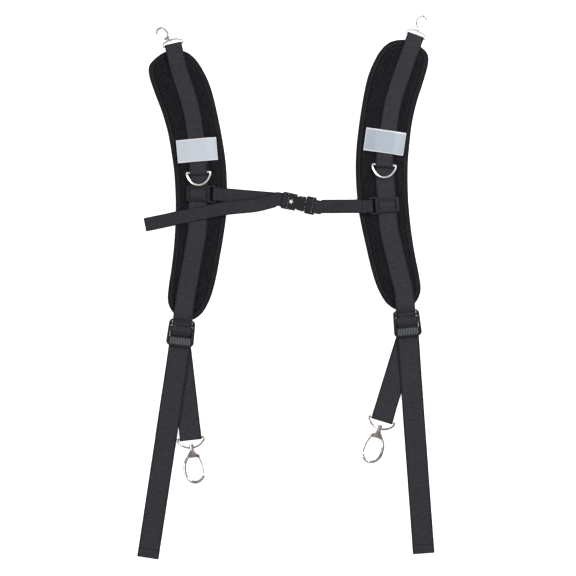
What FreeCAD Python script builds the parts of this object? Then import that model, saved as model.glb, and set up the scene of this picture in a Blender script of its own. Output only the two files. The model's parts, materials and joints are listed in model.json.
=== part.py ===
"""Padded shoulder harness for a tool belt: every piece as its own STEP file, in millimetres.

The harness lies flat on its back: +X across, +Y towards the shoulder ends, +Z up off the table.
"""
import FreeCAD
import Part
import math
import os

V = FreeCAD.Vector
os.makedirs("parts", exist_ok=True)

# ---------------------------------------------------------------- driving dimensions
SHIFT = (-1.46, -6.93)         # puts the middle of the whole harness on the origin
PAD_R = 660.0                  # bend radius of a pad's middle line
PAD_Z, RIM_Z = 11.0, 6.4       # top of the padded middle, top of the bound edge
RIM = 9.0                      # width of the bound edge
TAPE = 1.2                     # thickness of the edge tape
LAY = 0.1                      # gap between pieces laid on each other
BELT_T, CHEST_T = 1.6, 1.4     # thickness of the main and of the chest webbing
SHOULDER_W, LOWER_W, BELT_W, CHEST_W = 30.0, 34.0, 38.0, 24.0
LOOP_Z = 8.0                   # height of the bars held by the loops at a pad's ends
LOCK_BAR, LOCK_BAR2, LOCK_GAP, LOCK_RISE = 1.5, 2.4, 7.65, 2.2
SLIDER_Z, SLIDER_T = 13.0, 3.0
SIDE_BAR_A, SIDE_BAR_Z, SIDE_BAR = 28.5, 14.6, 1.3
BUCKLE_Z, BUCKLE_TOP, BUCKLE_BAR = 5.2, 10.4, 1.5
PATCH_W, PATCH_H, PATCH_T = 70.0, 40.0, 0.8
DRING_WIRE, DRING_HALF, DRING_DEPTH = 2.0, 19.5, 21.5
TAB_W = 30.0
HOOK_SCALE = 0.47              # shoulder hooks against belt hooks
EYE_LEG = 5.0                  # straight part of a hook eye beside its bar
RUN = 0.05                     # radial running clearance of a turning pin

# half of a pad's outline: (along the pad, across it), positive across is towards the chest
PAD_OUTLINE = [
    (246, -14), (241, -34), (232, -46.5), (212, -52), (175, -52), (143, -49.5), (103, -47.5),
    (60, -47), (19, -46), (-42, -45), (-100, -43.5), (-147, -41.5), (-186, -39), (-211, -34.5),
    (-225, -26), (-235, -12), (-237.5, 2), (-233, 16), (-225, 25), (-211, 32.5), (-186, 37.5),
    (-155, 39), (-113, 39.8), (-80, 41.8), (-50, 43.8), (-5, 45.2), (40, 45.6), (91, 44.5),
    (143, 44.5), (174, 43.5), (203, 38.5), (221, 32), (234, 22), (243, 5),
]

# the two halves of the harness as they are laid out
SIDES = {
    "left": {
        "hand": 1, "centre": (-806.2, 158.4), "mid": 2.15,
        "top": (-195.3, 429.0, 103.0), "shoulder": [(-185.0, 387.6), (-163.0, 318.0), (-151.3, 235.0)],
        "patch": (-153.6, 245.0, 5.0), "tab": (-150.8, 205.6, -87.0, 17.0),
        "lower": [(-150.5, 233.0), (-152.8, 104.0), (-174.6, -18.9)], "slider": (-151.5, 168.5),
        "lock": (-179.6, -59.4, -97.0), "fold": (-165.2, -258.6), "tail": (-240.3, -467.9),
        "tail_lift": (4.4, 155.0), "lean": 34.0, "swivel": 8.0,
    },
    "right": {
        "hand": -1, "centre": (829.2, 207.4), "mid": -0.7,
        "top": (228.1, 444.4, 70.0), "shoulder": [(213.6, 404.5), (187.5, 331.0), (174.3, 238.0)],
        "patch": (174.1, 259.9, -8.2), "tab": (172.7, 218.8, -94.0, 20.0),
        "lower": [(172.1, 233.0), (181.0, 106.0), (207.3, -2.9)], "slider": (178.0, 149.1),
        "lock": (211.5, -42.7, -84.0), "fold": (170.2, -225.6), "tail": (243.1, -460.2),
        "tail_lift": (2.95, 114.0), "lean": 3.0, "swivel": -5.0,
    },
}
BUCKLE = (-5.6, 158.9, -11.5)
CHEST_TAIL = [(-13.2, 158.6), (-50.0, 148.8), (-103.3, 143.6), (-245.0, 114.8)]
NODES = {}


# ---------------------------------------------------------------- helpers
def place(x, y, turn, z=0.0, dip=0.0):
    """Placement with local +X along TURN degrees, dipped DIP degrees below the horizontal."""
    spin = FreeCAD.Rotation(V(0, 0, 1), turn).multiply(FreeCAD.Rotation(V(0, 1, 0), dip))
    return FreeCAD.Placement(V(x, y, z), spin)


def put(shape, where):
    out = shape.copy()
    out.Placement = where.multiply(out.Placement)
    return out


def polar(x, y, turn, dist):
    return (x + dist * math.cos(math.radians(turn)), y + dist * math.sin(math.radians(turn)))


def box(x0, x1, y0, y1, z0, z1):
    return Part.makeBox(x1 - x0, y1 - y0, z1 - z0, V(x0, y0, z0))


def rod(start, end, r):
    a, b = V(*start), V(*end)
    return Part.makeCylinder(r, (b - a).Length, a, b - a)


def fuse(shapes):
    out = shapes[0].fuse(shapes[1:]) if len(shapes) > 1 else shapes[0]
    return out.removeSplitter()


def slab(points, z0, z1):
    """A straight-sided plate from its corner points."""
    wire = Part.makePolygon([V(x, y, z0) for x, y in points] + [V(points[0][0], points[0][1], z0)])
    return Part.Face(wire).extrude(V(0, 0, z1 - z0))


def soften(shape, r, pick):
    """Round the edges PICK chooses; the shape is kept as it is if the kernel refuses."""
    edges = [e for e in shape.Edges if pick(e)]
    try:
        out = shape.makeFillet(r, edges)
        return out if out.isValid() and out.Solids else shape
    except Exception:
        return shape


def run(path, off):
    """Edges of a polyline with rounded corners, moved OFF to its left. PATH is (x, y, radius)."""
    pts = [V(p[0], p[1], 0) for p in path]
    dirs = [(b - a).normalize() for a, b in zip(pts, pts[1:])]
    out, last = [], None
    for i, p in enumerate(pts):
        if i in (0, len(pts) - 1):
            d = dirs[min(i, len(dirs) - 1)]
            here = [p + V(-d.y, d.x, 0) * off]
        else:
            d0, d1, r = dirs[i - 1], dirs[i], path[i][2]
            turn = d0.cross(d1).z
            angle = math.atan2(turn, d0.dot(d1))
            if abs(angle) < 1e-6:
                continue
            sign, t = (1 if angle > 0 else -1), r * math.tan(abs(angle) / 2)
            a, b = p - d0 * t, p + d1 * t
            n0, n1 = V(-d0.y, d0.x, 0), V(-d1.y, d1.x, 0)
            mid = (n0 + n1).normalize()
            hub = a + n0 * (sign * r)
            q = sign * r - off
            here = [hub - n0 * q, hub - mid * q, hub - n1 * q]
        if last is not None and (here[0] - last).Length > 1e-5:
            out.append(Part.LineSegment(last, here[0]).toShape())
        if len(here) == 3:
            out.append(Part.Arc(*here).toShape())
        last = here[-1]
    return out


def band(path, t):
    """Flat face of a band of width T along a rounded polyline."""
    path = [(p[0], p[1], p[2] if len(p) > 2 else 0.0) for p in path]
    one, two = run(path, t / 2), run(path, -t / 2)
    ends = [Part.LineSegment(one[0].Vertexes[0].Point, two[0].Vertexes[0].Point).toShape(),
            Part.LineSegment(one[-1].Vertexes[-1].Point, two[-1].Vertexes[-1].Point).toShape()]
    edges = Part.__sortEdges__(one + two + ends)
    return Part.Face(Part.Wire(edges))


def ribbon(path, t, w):
    """Webbing of width W whose side view is PATH, (along, height, bend radius)."""
    face = band(path, t)
    face.rotate(V(0, 0, 0), V(1, 0, 0), 90)
    face.translate(V(0, w / 2, 0))
    return face.extrude(V(0, -w, 0))


def flat(path, w, z0, z1):
    """Webbing lying flat whose plan view is PATH, (x, y, bend radius)."""
    face = band(path, w)
    face.translate(V(0, 0, z0))
    return face.extrude(V(0, 0, z1 - z0))


def pipe(points, r, arc=False):
    """Round wire along a smooth curve through POINTS."""
    pts = [V(*p) for p in points]
    if arc:
        edge = Part.Arc(*pts).toShape()
    else:
        curve = Part.BSplineCurve()
        curve.interpolate(pts)
        edge = curve.toShape()
    ring = Part.Wire(Part.Circle(pts[0], edge.tangentAt(edge.FirstParameter), r).toShape())
    return Part.Wire(edge).makePipeShell([ring], True, False)


def keep(name, shape):
    shape = shape.copy()
    shape.translate(V(SHIFT[0], SHIFT[1], 0))
    NODES[name] = shape


# ---------------------------------------------------------------- pads
def pad_curve(side):
    """Closed outline curve of a pad on the table."""
    pts = []
    for along, across in PAD_OUTLINE:
        a = math.radians(side["mid"]) + along / PAD_R
        pts.append(V(side["centre"][0] + side["hand"] * (PAD_R + across) * math.cos(a),
                     side["centre"][1] + (PAD_R + across) * math.sin(a), 0))
    curve = Part.BSplineCurve()
    curve.interpolate(Points=pts, PeriodicFlag=True)
    return curve


def pad_plate(curve, inset, z0, z1, side):
    """Plate inside the outline, INSET from it."""
    if inset:
        first, last, n, pts = curve.FirstParameter, curve.LastParameter, 72, []
        for i in range(n):
            u = first + (last - first) * i / n
            t = curve.tangent(u)[0]
            pts.append(curve.value(u) + V(-t.y, t.x, 0) * (inset * side["hand"]))
        curve = Part.BSplineCurve()
        curve.interpolate(Points=pts, PeriodicFlag=True)
    face = Part.Face(Part.Wire(curve.toShape()))
    face.translate(V(0, 0, z0))
    return face.extrude(V(0, 0, z1 - z0))


def make_pad(name, side):
    curve = pad_curve(side)
    core = pad_plate(curve, RIM, TAPE, PAD_Z, side)
    core = soften(core, 3.8, lambda e: min(v.Z for v in e.Vertexes) > PAD_Z - 0.01)
    rim = pad_plate(curve, TAPE, TAPE, RIM_Z - TAPE, side)
    keep("shoulder_pad_" + name, fuse([core, rim]))
    tape = pad_plate(curve, 0, 0, RIM_Z, side)
    tape = soften(tape, 1.0, lambda e: True)
    hole = pad_plate(curve, RIM, -1, RIM_Z + 1, side)
    keep("pad_binding_" + name, tape.cut(hole).cut(rim))
    keep("pad_lining_" + name, pad_plate(curve, RIM + LAY, 0, TAPE - LAY, side))


# ---------------------------------------------------------------- webbing on the pads
def end_loop(bar, gap, back):
    """Side view of webbing folded round a bar at the origin's height, ending BACK behind it."""
    r, z, top = bar + gap + BELT_T / 2, LOOP_Z, PAD_Z + LAY + BELT_T / 2
    lift = top + BELT_T + 0.3
    return [(-back, top, 0), (-back + 6, top, 3), (-back + 11.5, lift, 3), (-17, lift, 4),
            (-4, z + r, 4), (r, z + r, r), (r, z - r, r), (-0.6, z - r, 2), (-5.0, 7.8, 2),
            (-16.5, top + 0.15, 3), (-back + 14.5, top, 0)]


def make_pad_webbing(name, side):
    z0, z1 = PAD_Z + LAY, PAD_Z + LAY + BELT_T
    x, y, turn = side["top"]
    path = [p + (0,) for p in side["shoulder"]]
    path[1] = path[1][:2] + (300.0,)
    start = polar(x, y, turn, -44)
    path[0] = start + (0,)
    loop = put(ribbon(end_loop(1.3, 0.3, 46), BELT_T, SHOULDER_W), place(x, y, turn))
    keep("shoulder_webbing_" + name, fuse([flat(path, SHOULDER_W, z0, z1), loop]))

    x, y, turn = side["lock"]
    path = [p + (0,) for p in side["lower"]]
    path[1] = path[1][:2] + (100.0,)
    loop = put(ribbon(end_loop(LOCK_BAR, 0.3, 42), BELT_T, LOWER_W), place(x, y, turn))
    cut = slab([(-400, side["shoulder"][2][1] - 2.5), (400, side["shoulder"][2][1] - 2.5), (400, 600), (-400, 600)], 0, 30)
    keep("lower_webbing_" + name, fuse([flat(path, LOWER_W, z0, z1), loop]).cut(cut))

    x, y, turn = side["patch"]
    low, high = PAD_Z + LAY + PATCH_T / 2, z1 + 0.1 + PATCH_T / 2
    path = [(-PATCH_W / 2, low, 0), (-23, low, 1.5), (-19, high, 1.5), (19, high, 1.5), (23, low, 1.5), (PATCH_W / 2, low, 0)]
    keep("reflective_patch_" + name, put(ribbon(path, PATCH_T, PATCH_H), place(x, y, turn)))


def make_d_ring(name, side):
    x, y, turn, back = side["tab"]
    t, r = CHEST_T, DRING_WIRE + 0.3 + CHEST_T / 2
    z = PAD_Z + LAY + BELT_T + LAY + t / 2
    back = back - 0.5
    path = [(-back, z, 0), (r, z, r), (r, z + 2 * r, r), (-3, z + 2 * r, 3), (-9, z + t + 0.05, 3), (-back, z + t + 0.05, 0)]
    keep("d_ring_tab_" + name, put(ribbon(path, t, TAB_W), place(x, y, turn)))
    h, d = DRING_HALF, DRING_DEPTH
    ring = fuse([rod((0, -h, 0), (0, h, 0), DRING_WIRE),
                 pipe([(0, -h, 0), (3.6, -h - 0.5, 0), (9.6, -h + 1.6, 0), (16.8, -12.4, 0), (d - 0.4, -4.6, 0), (d - 0.4, 4.6, 0), (16.8, 12.4, 0), (9.6, h - 1.6, 0), (3.6, h + 0.5, 0), (0, h, 0)], DRING_WIRE),
                 Part.makeSphere(DRING_WIRE, V(0, -h, 0)), Part.makeSphere(DRING_WIRE, V(0, h, 0))])
    keep("d_ring_" + name, put(ring, place(x, y, turn, z + r)))


# ---------------------------------------------------------------- sternum sliders
def slider_place(side):
    a, b = side["lower"][0], side["lower"][1]
    tilt = math.degrees(math.atan2(a[1] - b[1], a[0] - b[0])) - 90
    return place(side["slider"][0], side["slider"][1], tilt + (0 if side["hand"] > 0 else 180))


def make_slider(name, side):
    z0, z1 = SLIDER_Z, SLIDER_Z + SLIDER_T
    outer = soften(box(-20.6, 20.6, -13.4, 13.4, z0, z1), 2.5, lambda e: abs(e.Vertexes[0].Z - e.Vertexes[-1].Z) > 1)
    outer = soften(outer, 0.8, lambda e: min(v.Z for v in e.Vertexes) > z1 - 0.01)
    frame = outer.cut(box(-15.6, 15.6, -8.6, 8.6, z0 - 1, z1 + 1))
    legs = [box(s * 19 - 1.35, s * 19 + 1.35, -10, 10, PAD_Z + LAY, z0 + 0.5) for s in (-1, 1)]
    arms = [box(18, SIDE_BAR_A + 1.6, s * 13.6 - 1.0, s * 13.6 + 1.0, z0, z1) for s in (-1, 1)]
    bar = rod((SIDE_BAR_A, -13.6, SIDE_BAR_Z), (SIDE_BAR_A, 13.6, SIDE_BAR_Z), SIDE_BAR)
    body = fuse([frame] + legs + arms + [bar])
    keep("sternum_slider_" + name, put(body, slider_place(side)))
    low = PAD_Z + LAY + BELT_T + 0.15 + 0.6
    hump = ribbon([(-8.2, low, 0), (-5.6, low, 2), (-2.6, low + 1.5, 2), (2.6, low + 1.5, 2), (5.6, low, 2), (8.2, low, 0)], 1.2, 30.0)
    hump.rotate(V(0, 0, 0), V(0, 0, 1), 90)
    keep("slider_tuck_" + name, put(hump, slider_place(side)))


def side_bar_point(side):
    p = slider_place(side).multVec(V(SIDE_BAR_A, 0, 0))
    return p.x, p.y


# ---------------------------------------------------------------- chest strap and buckle
def chest_run(start, side, begin):
    """Chest webbing from START near a buckle up to and round the side bar of a slider."""
    low, bar = PAD_Z + LAY + CHEST_T / 2 + 0.05, SIDE_BAR_A
    r = SIDE_BAR + 0.25 + CHEST_T / 2
    bottom, top, upper = SIDE_BAR_Z - r, SIDE_BAR_Z + r, low + CHEST_T + 0.15
    loop = ribbon([(bar + 15, low, 0), (bar + 7, low, 4), (bar + 3, bottom, 2), (bar - r, bottom, r), (bar - r, top, r),
                   (bar + 2, top, 2), (bar + 9, upper, 3), (bar + 14, upper, 0)], CHEST_T, CHEST_W)
    sx, sy = side_bar_point(side)
    end, angle = math.hypot(start[0] - sx, start[1] - sy), math.degrees(math.atan2(sy - start[1], sx - start[0]))
    path = [(begin, 2.75, 0), (begin + 12, 2.75, 20), (end - 16, low, 20), (end - 10, low, 0)]
    return [put(loop, slider_place(side)), put(ribbon(path, CHEST_T, CHEST_W), place(start[0], start[1], angle))]


def make_chest_strap():
    r = BUCKLE_BAR + 0.3 + CHEST_T / 2
    low, high = BUCKLE_Z - r, BUCKLE_Z + r
    bx, by, turn = BUCKLE
    ladder = polar(bx, by, turn, 7.5)
    wrap = ribbon([(-14, low, 0), (r, low, r), (r, high, r), (-9, high, 0)], CHEST_T, CHEST_W)
    load = chest_run(polar(bx, by, turn, -3.0), SIDES["left"], 0)
    keep("chest_strap_left", fuse([put(wrap, place(ladder[0], ladder[1], turn))] + load))

    path = [p + (r,) for p, r in zip(CHEST_TAIL, (0, 120, 250, 0))]
    plan = flat(path, CHEST_W, -5, 40)
    x, y = CHEST_TAIL[3]
    reach = math.hypot(CHEST_TAIL[0][0] - x, CHEST_TAIL[0][1] - y)
    angle = math.degrees(math.atan2(CHEST_TAIL[0][1] - y, CHEST_TAIL[0][0] - x))
    side = ribbon([(-20, 6.6, 0), (24, 8.4, 40), (56, 12.4, 30), (74, 13.7, 30), (113, 13.7, 20), (124, 14.7, 30), (149, 14.3, 30), (reach - 12, high, 20), (reach + 20, high, 0)], CHEST_T, 120)
    tail = plan.common(put(side, place(x, y, angle)))
    stub = put(ribbon([(-21, high, 0), (-9.05, high, 0)], CHEST_T, CHEST_W), place(ladder[0], ladder[1], turn))
    keep("chest_strap_tail", fuse([tail, stub]))

    out = polar(bx, by, turn, 58.0)
    wrap = ribbon([(14, low, 0), (-r, low, r), (-r, high, r), (2, high, 3), (9, low + CHEST_T + 0.1, 3), (14, low + CHEST_T + 0.1, 0)], CHEST_T, CHEST_W)
    keep("chest_strap_right", fuse([put(wrap, place(out[0], out[1], turn))] + chest_run(out, SIDES["right"], 9)))


def star(cx, r_out, r_in):
    pts = []
    for i in range(10):
        a, r = math.radians(36 * i), (r_out if i % 2 == 0 else r_in)
        pts.append((cx + r * math.cos(a), r * math.sin(a)))
    return slab(pts, -5, 20)


def make_buckle():
    z0, z1 = 0.2, BUCKLE_TOP
    where = place(*BUCKLE)
    shell = slab([(0, -15), (24, -14.4), (42, -13), (42, 13), (24, 14.4), (0, 15)], z0, z1)
    shell = soften(shell, 3.2, lambda e: abs(e.Vertexes[0].Z - e.Vertexes[-1].Z) > 1)
    shell = soften(shell, 1.4, lambda e: min(v.Z for v in e.Vertexes) > z1 - 0.01 or max(v.Z for v in e.Vertexes) < z0 + 0.01)
    cuts = [box(-1, 12, -12.5, 12.5, -1, 8.65), box(3, 10.85, -12.5, 12.5, -1, 12), star(16.6, 5.0, 2.2), box(28, 39, -1.0, 1.0, 7.9, 12),
            box(20, 43, -11.2, 11.2, 2.6, 8.0)]
    cuts += [box(26, 36, *sorted((s * 11.0, s * 16)), -1, 12) for s in (-1, 1)]
    cuts += [box(24, 36, *sorted((s * 9.0, s * 16)), 2.6, 8.0) for s in (-1, 1)]
    for c in cuts:
        shell = shell.cut(c)
    shell = fuse([shell, rod((7.5, -13.5, BUCKLE_Z), (7.5, 13.5, BUCKLE_Z), BUCKLE_BAR)])
    keep("buckle_socket", put(shell, where))

    base = slab([(42.3, -14.6), (45.5, -15.4), (60, -15.4), (60, 15.4), (45.5, 15.4), (42.3, 14.6)], z0, z1)
    base = soften(base, 1.6, lambda e: abs(e.Vertexes[0].Z - e.Vertexes[-1].Z) > 1)
    base = soften(base, 1.2, lambda e: min(v.Z for v in e.Vertexes) > z1 - 0.01 or max(v.Z for v in e.Vertexes) < z0 + 0.01)
    base = base.cut(box(54.65, 62, -12.5, 12.5, -1, 12))
    guide = box(24, 43, -2.4, 2.4, 3.2, 7.4)
    base = fuse([base, guide, rod((58, -13.5, BUCKLE_Z), (58, 13.5, BUCKLE_Z), BUCKLE_BAR)])
    keep("buckle_plug", put(base, where))
    for i, s in (("a", 1), ("b", -1)):
        pts = [(42.25, 4.8), (42.25, 9.0), (35.7, 9.6), (35.7, 12.9), (30, 12.6), (26.4, 10.7), (25, 7.2), (28, 6.2)]
        arm = slab([(x, s * y) for x, y in pts], 2.9, 7.7)
        keep("buckle_prong_" + i, put(arm, where))


# ---------------------------------------------------------------- ladder locks and belt straps
def make_lock(name, side):
    x, y, turn = side["lock"]
    where = place(x, y, turn)
    z0, z1 = 6.8, 15.0
    frame = slab([(-9, -22.6), (38, -24.4), (38, 24.4), (-9, 22.6)], z0, z1)
    frame = soften(frame, 7.5, lambda e: abs(e.Vertexes[0].Z - e.Vertexes[-1].Z) > 1)
    frame = frame.cut(ribbon([(12, z1 + 4.2, 0), (60, z1 + 0.6, 0)], 8.0, 80))
    frame = soften(frame, 0.9, lambda e: min(v.Z for v in e.Vertexes) > 10)
    frame = frame.cut(box(3.1, 22, -19.6, 19.6, -1, 20)).cut(box(-6, 4, -17.7, 17.7, -1, 20)).cut(box(-10, 22, -17.7, 17.7, -1, 12.9)).cut(box(21, 40, -19.6, 19.6, -1, 9.5))
    bars = [rod((0, -20.5, LOOP_Z), (0, 20.5, LOOP_Z), LOCK_BAR), rod((LOCK_GAP, -20.5, LOOP_Z + LOCK_RISE), (LOCK_GAP, 20.5, LOOP_Z + LOCK_RISE), LOCK_BAR2)]
    keep("ladder_lock_" + name, put(fuse([frame] + bars), where))


def lock_exit(side, dist):
    x, y, turn = side["lock"]
    return polar(x, y, turn, dist)


def make_belt_straps(name, side):
    x, y, turn = side["lock"]
    r, z = LOCK_BAR2 + 0.3 + BELT_T / 2, LOOP_Z + LOCK_RISE
    wrap = ribbon([(40, 4.7, 0), (24, 5.1, 10), (12.5, z - r, 8), (LOCK_GAP - r, z - r, r), (LOCK_GAP - r, z, 0)], BELT_T, BELT_W)
    px, py = lock_exit(side, 36)
    fx, fy = side["fold"]
    length, angle = math.hypot(fx - px, fy - py), math.degrees(math.atan2(fy - py, fx - px))
    e, ez = 1.8 + 0.3 + BELT_T / 2, 4.2
    straight = ribbon([(0, 4.8, 0), (18, 2.0, 40), (40, 0.95, 40), (length - 34, 0.95, 0)], BELT_T, BELT_W)
    keep("hook_strap_" + name, fuse([put(wrap, place(x, y, turn)), put(straight, place(px, py, angle))]))
    loop = ribbon([(length - 34, 0.95, 0), (length - 29, 0.95, 3), (length - 24, 2.6, 3), (length - 18, 2.6, 4), (length - 7, ez + e, 4),
                   (length + e, ez + e, e), (length + e, ez - e, e), (length - 6, ez - e, 3), (length - 12, 0.9, 3), (length - 23, 0.9, 0)], BELT_T, BELT_W)
    keep("hook_strap_loop_" + name, put(loop, place(px, py, angle)))

    wrap = ribbon([(40, 6.85, 0), (21.5, 7.7, 5), (11.8, z + r, 4), (LOCK_GAP - r, z + r, r), (LOCK_GAP - r, z, 0)], BELT_T, BELT_W)
    px, py = lock_exit(side, 37)
    tx, ty = side["tail"]
    length, angle = math.hypot(tx - px, ty - py), math.degrees(math.atan2(ty - py, tx - px))
    lift, until = side["tail_lift"]
    straight = ribbon([(0, 7.0, 0), (30, 4.9, 30), (62, lift, 40), (until, lift, 10), (until + 14, 0.95, 10), (length - 18, 0.95, 0)], BELT_T, BELT_W)
    keep("strap_tail_" + name, fuse([put(wrap, place(x, y, turn)), put(straight, place(px, py, angle))]))
    hem = ribbon([(length - 18, 0.95, 0), (length, 0.95, 0.85), (length, 2.65, 0.85), (length - 14, 2.65, 0)], BELT_T, BELT_W)
    keep("tail_hem_" + name, put(hem, place(px, py, angle)))


# ---------------------------------------------------------------- swivel snap hooks
def eye_arc(half, depth):
    r = (half * half + depth * depth) / (2 * depth)
    return r, depth - r


def make_hook(prefix, where, half, depth, wire, lean, spot, k, bow, hand):
    """Swivel snap hook hanging from a straight bar of length 2*HALF; K scales the hook itself."""
    r, hub = eye_arc(half, depth - EYE_LEG)
    hub += EYE_LEG
    a = math.radians(spot)
    swivel = place(hub + r * math.cos(a), r * math.sin(a), lean)
    post, rim = 2.2 * k, 4 * k + abs(lean - spot) / 40
    legs = [rod((0, s * half, 0), (EYE_LEG, s * half, 0), wire) for s in (-1, 1)]
    balls = [Part.makeSphere(wire, V(x, s * half, 0)) for s in (-1, 1) for x in (0, EYE_LEG)]
    eye = fuse([rod((0, -half, 0), (0, half, 0), wire), pipe([(EYE_LEG, -half, 0), (depth, 0, 0), (EYE_LEG, half, 0)], wire, True)] + legs + balls + [
                put(rod((-rim, 0, 0), (rim, 0, 0), 4.0 * k), swivel)])
    eye = eye.cut(put(rod((-8 * k, 0, 0), (8 * k, 0, 0), post + RUN), swivel))
    keep(prefix + "_eye", put(eye, where))

    def at(points):
        return [(x * k, y * k * hand, 0) for x, y in points]

    bow = pipe(at([(14, -7), (19, -11.4), (27, -15.0), (38, -16.2), (50, -14.2), (57.5, -8), (60.4, 0), (58.6, 8), (54, 13.2), (50.2, 15.2)]), bow * k)
    neck = Part.makeCone(4.4 * k, 6.6 * k, 6 * k, V(rim + 0.1, 0, 0), V(1, 0, 0)).common(box(0, 20, -20, 20, -4.0 * k, 4.0 * k))
    crown = slab([(x, y) for x, y, _ in at([(8, -6.5), (13, -9.5), (18.5, -10), (17, -5), (17, 5), (18.5, 12), (14, 12.5), (8, 6.5)])], -4.0 * k, 4.0 * k)
    crown = soften(crown, 1.2 * k, lambda e: True)
    stem = rod((-rim - 2 * k, 0, 0), (8 * k, 0, 0), post)
    head = rod((-rim - 2.6 * k, 0, 0), (-rim - 0.1, 0, 0), 3.7 * k)
    pivot = at([(14.6, 8.6)])[0]
    body = fuse([stem, head, neck, crown, bow])
    slot = 1.6 * k + 0.12
    y0, y1 = sorted((4.9 * k * hand, 16 * k * hand))
    body = body.cut(box(10.6 * k, 24 * k, y0, y1, -slot, slot))
    body = body.cut(rod((pivot[0], pivot[1], -5 * k), (pivot[0], pivot[1], 5 * k), 1.3 * k + 0.01))
    keep(prefix + "_body", put(put(body, swivel), where))
    pin = rod((pivot[0], pivot[1], -4.2 * k), (pivot[0], pivot[1], 4.2 * k), 1.3 * k)
    keep(prefix + "_pin", put(put(pin, swivel), where))
    tip = at([(47.2, 15.2)])[0]
    lever = fuse([rod((pivot[0], pivot[1], -1.6 * k), (pivot[0], pivot[1], 1.6 * k), 3.0 * k), pipe([pivot] + at([(24, 12.7), (36, 15.1)]) + [tip], 1.5 * k)])
    lever = lever.cut(rod((pivot[0], pivot[1], -3 * k), (pivot[0], pivot[1], 3 * k), 1.3 * k + RUN))
    keep(prefix + "_gate", put(put(lever, swivel), where))


def make_hooks(name, side):
    px, py = lock_exit(side, 36)
    fx, fy = side["fold"]
    angle = math.degrees(math.atan2(fy - py, fx - px))
    make_hook("belt_hook_" + name, place(fx, fy, angle, 4.2), 22.8, 17.0, 1.8, 0.0, 0.0, 1.0, 2.8, side["hand"])
    x, y, turn = side["top"]
    make_hook("shoulder_hook_" + name, place(x, y, turn, LOOP_Z, 5.5), 17.4, 10.5, 1.3, side["lean"], side["swivel"], HOOK_SCALE, 4.2, side["hand"])


for label, half in SIDES.items():
    make_pad(label, half)
    make_pad_webbing(label, half)
    make_d_ring(label, half)
    make_slider(label, half)
    make_lock(label, half)
    make_belt_straps(label, half)
    make_hooks(label, half)
make_chest_strap()
make_buckle()

whole = Part.makeCompound(list(NODES.values())).BoundBox
print("bounds", [round(v, 2) for v in (whole.XMin, whole.XMax, whole.YMin, whole.YMax, whole.ZMin, whole.ZMax)])
for node, shape in NODES.items():
    if not shape.isValid() or len(shape.Solids) != 1:
        print("check", node, shape.isValid(), len(shape.Solids))
    (shape.Solids[0] if len(shape.Solids) == 1 else shape).exportStep("parts/" + node + ".step")
print(len(NODES), "pieces")
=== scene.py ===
"""Looks for a padded shoulder harness that carries a tool belt.

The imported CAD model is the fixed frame. Hard parts keep their CAD shape and get finished
materials; every soft part (pads, tape, webbing, patches, stitching) is built here in real
size and rides on its CAD body. All sizes below are in millimetres unless a name says so.
"""
from __future__ import annotations

import json
import logging
import math
from collections.abc import Callable
from dataclasses import dataclass, field
from enum import Enum

import bmesh
import bpy
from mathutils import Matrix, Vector, kdtree, noise

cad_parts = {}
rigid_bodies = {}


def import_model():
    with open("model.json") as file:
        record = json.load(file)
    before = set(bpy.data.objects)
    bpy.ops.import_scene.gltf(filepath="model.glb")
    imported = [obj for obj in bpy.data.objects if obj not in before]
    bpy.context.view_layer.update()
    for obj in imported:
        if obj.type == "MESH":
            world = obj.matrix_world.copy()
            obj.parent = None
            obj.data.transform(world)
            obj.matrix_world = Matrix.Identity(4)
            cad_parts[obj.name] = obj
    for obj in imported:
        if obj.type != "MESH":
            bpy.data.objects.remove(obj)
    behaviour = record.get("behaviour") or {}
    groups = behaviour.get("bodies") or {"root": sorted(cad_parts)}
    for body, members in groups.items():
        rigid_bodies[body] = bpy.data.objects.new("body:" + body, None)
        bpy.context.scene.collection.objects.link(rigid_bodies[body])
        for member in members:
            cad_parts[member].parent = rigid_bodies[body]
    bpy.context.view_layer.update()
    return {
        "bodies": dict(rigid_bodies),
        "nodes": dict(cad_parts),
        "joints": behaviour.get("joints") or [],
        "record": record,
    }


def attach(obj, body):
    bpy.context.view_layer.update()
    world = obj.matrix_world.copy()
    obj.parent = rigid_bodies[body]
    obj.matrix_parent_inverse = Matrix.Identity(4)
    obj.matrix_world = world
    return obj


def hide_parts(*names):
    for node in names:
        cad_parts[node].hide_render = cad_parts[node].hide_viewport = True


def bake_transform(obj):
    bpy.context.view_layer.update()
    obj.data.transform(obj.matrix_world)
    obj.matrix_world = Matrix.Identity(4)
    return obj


logging.basicConfig(level=logging.INFO, format="%(levelname)s %(name)s: %(message)s")
LOG = logging.getLogger("harness")

Socket = bpy.types.NodeSocket
Point = tuple[float, float]

MM = 0.001
# The layout's own origin, moved so that the whole object sits in the middle of the frame.
SHIFT = Vector((-1.46, -6.93, 0.0))

# Pads: bend radius of the middle line, and height of the cover.
PAD_RADIUS = 660.0
PAD_TOP = 11.0

# Webbing: thicknesses, the gap between pieces that lie on each other, and widths.
BELT_T, CHEST_T, LAY = 1.6, 1.4, 0.1
SHOULDER_W, LOWER_W, BELT_W, CHEST_W = 30.0, 34.0, 38.0, 24.0
# Clearance between a strap and the bar that it goes round.
SLACK = 0.3
# Height at which the middle of a 1.6 mm strap lies on the table.
ON_TABLE = 0.98

# Ladder lock: height of the first bar, and where the second bar lies from it, with its radius.
LOOP_Z, LOCK_GAP, LOCK_RISE, LOCK_BAR = 8.0, 7.65, 2.2, 2.4

# Buckle: place and turn, its bars' height and radius, and the distance to each bar.
BUCKLE = (-5.6, 158.9, -11.5)
BUCKLE_BAR_Z, BUCKLE_BAR = 5.2, 1.5
SOCKET_BAR_AT, PLUG_BAR_AT = 7.5, 58.0

# Sternum slider: how far its side bar stands from the middle, with the bar's height and radius.
SIDE_BAR_AT, SIDE_BAR_Z, SIDE_BAR = 28.5, 14.6, 1.3

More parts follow.
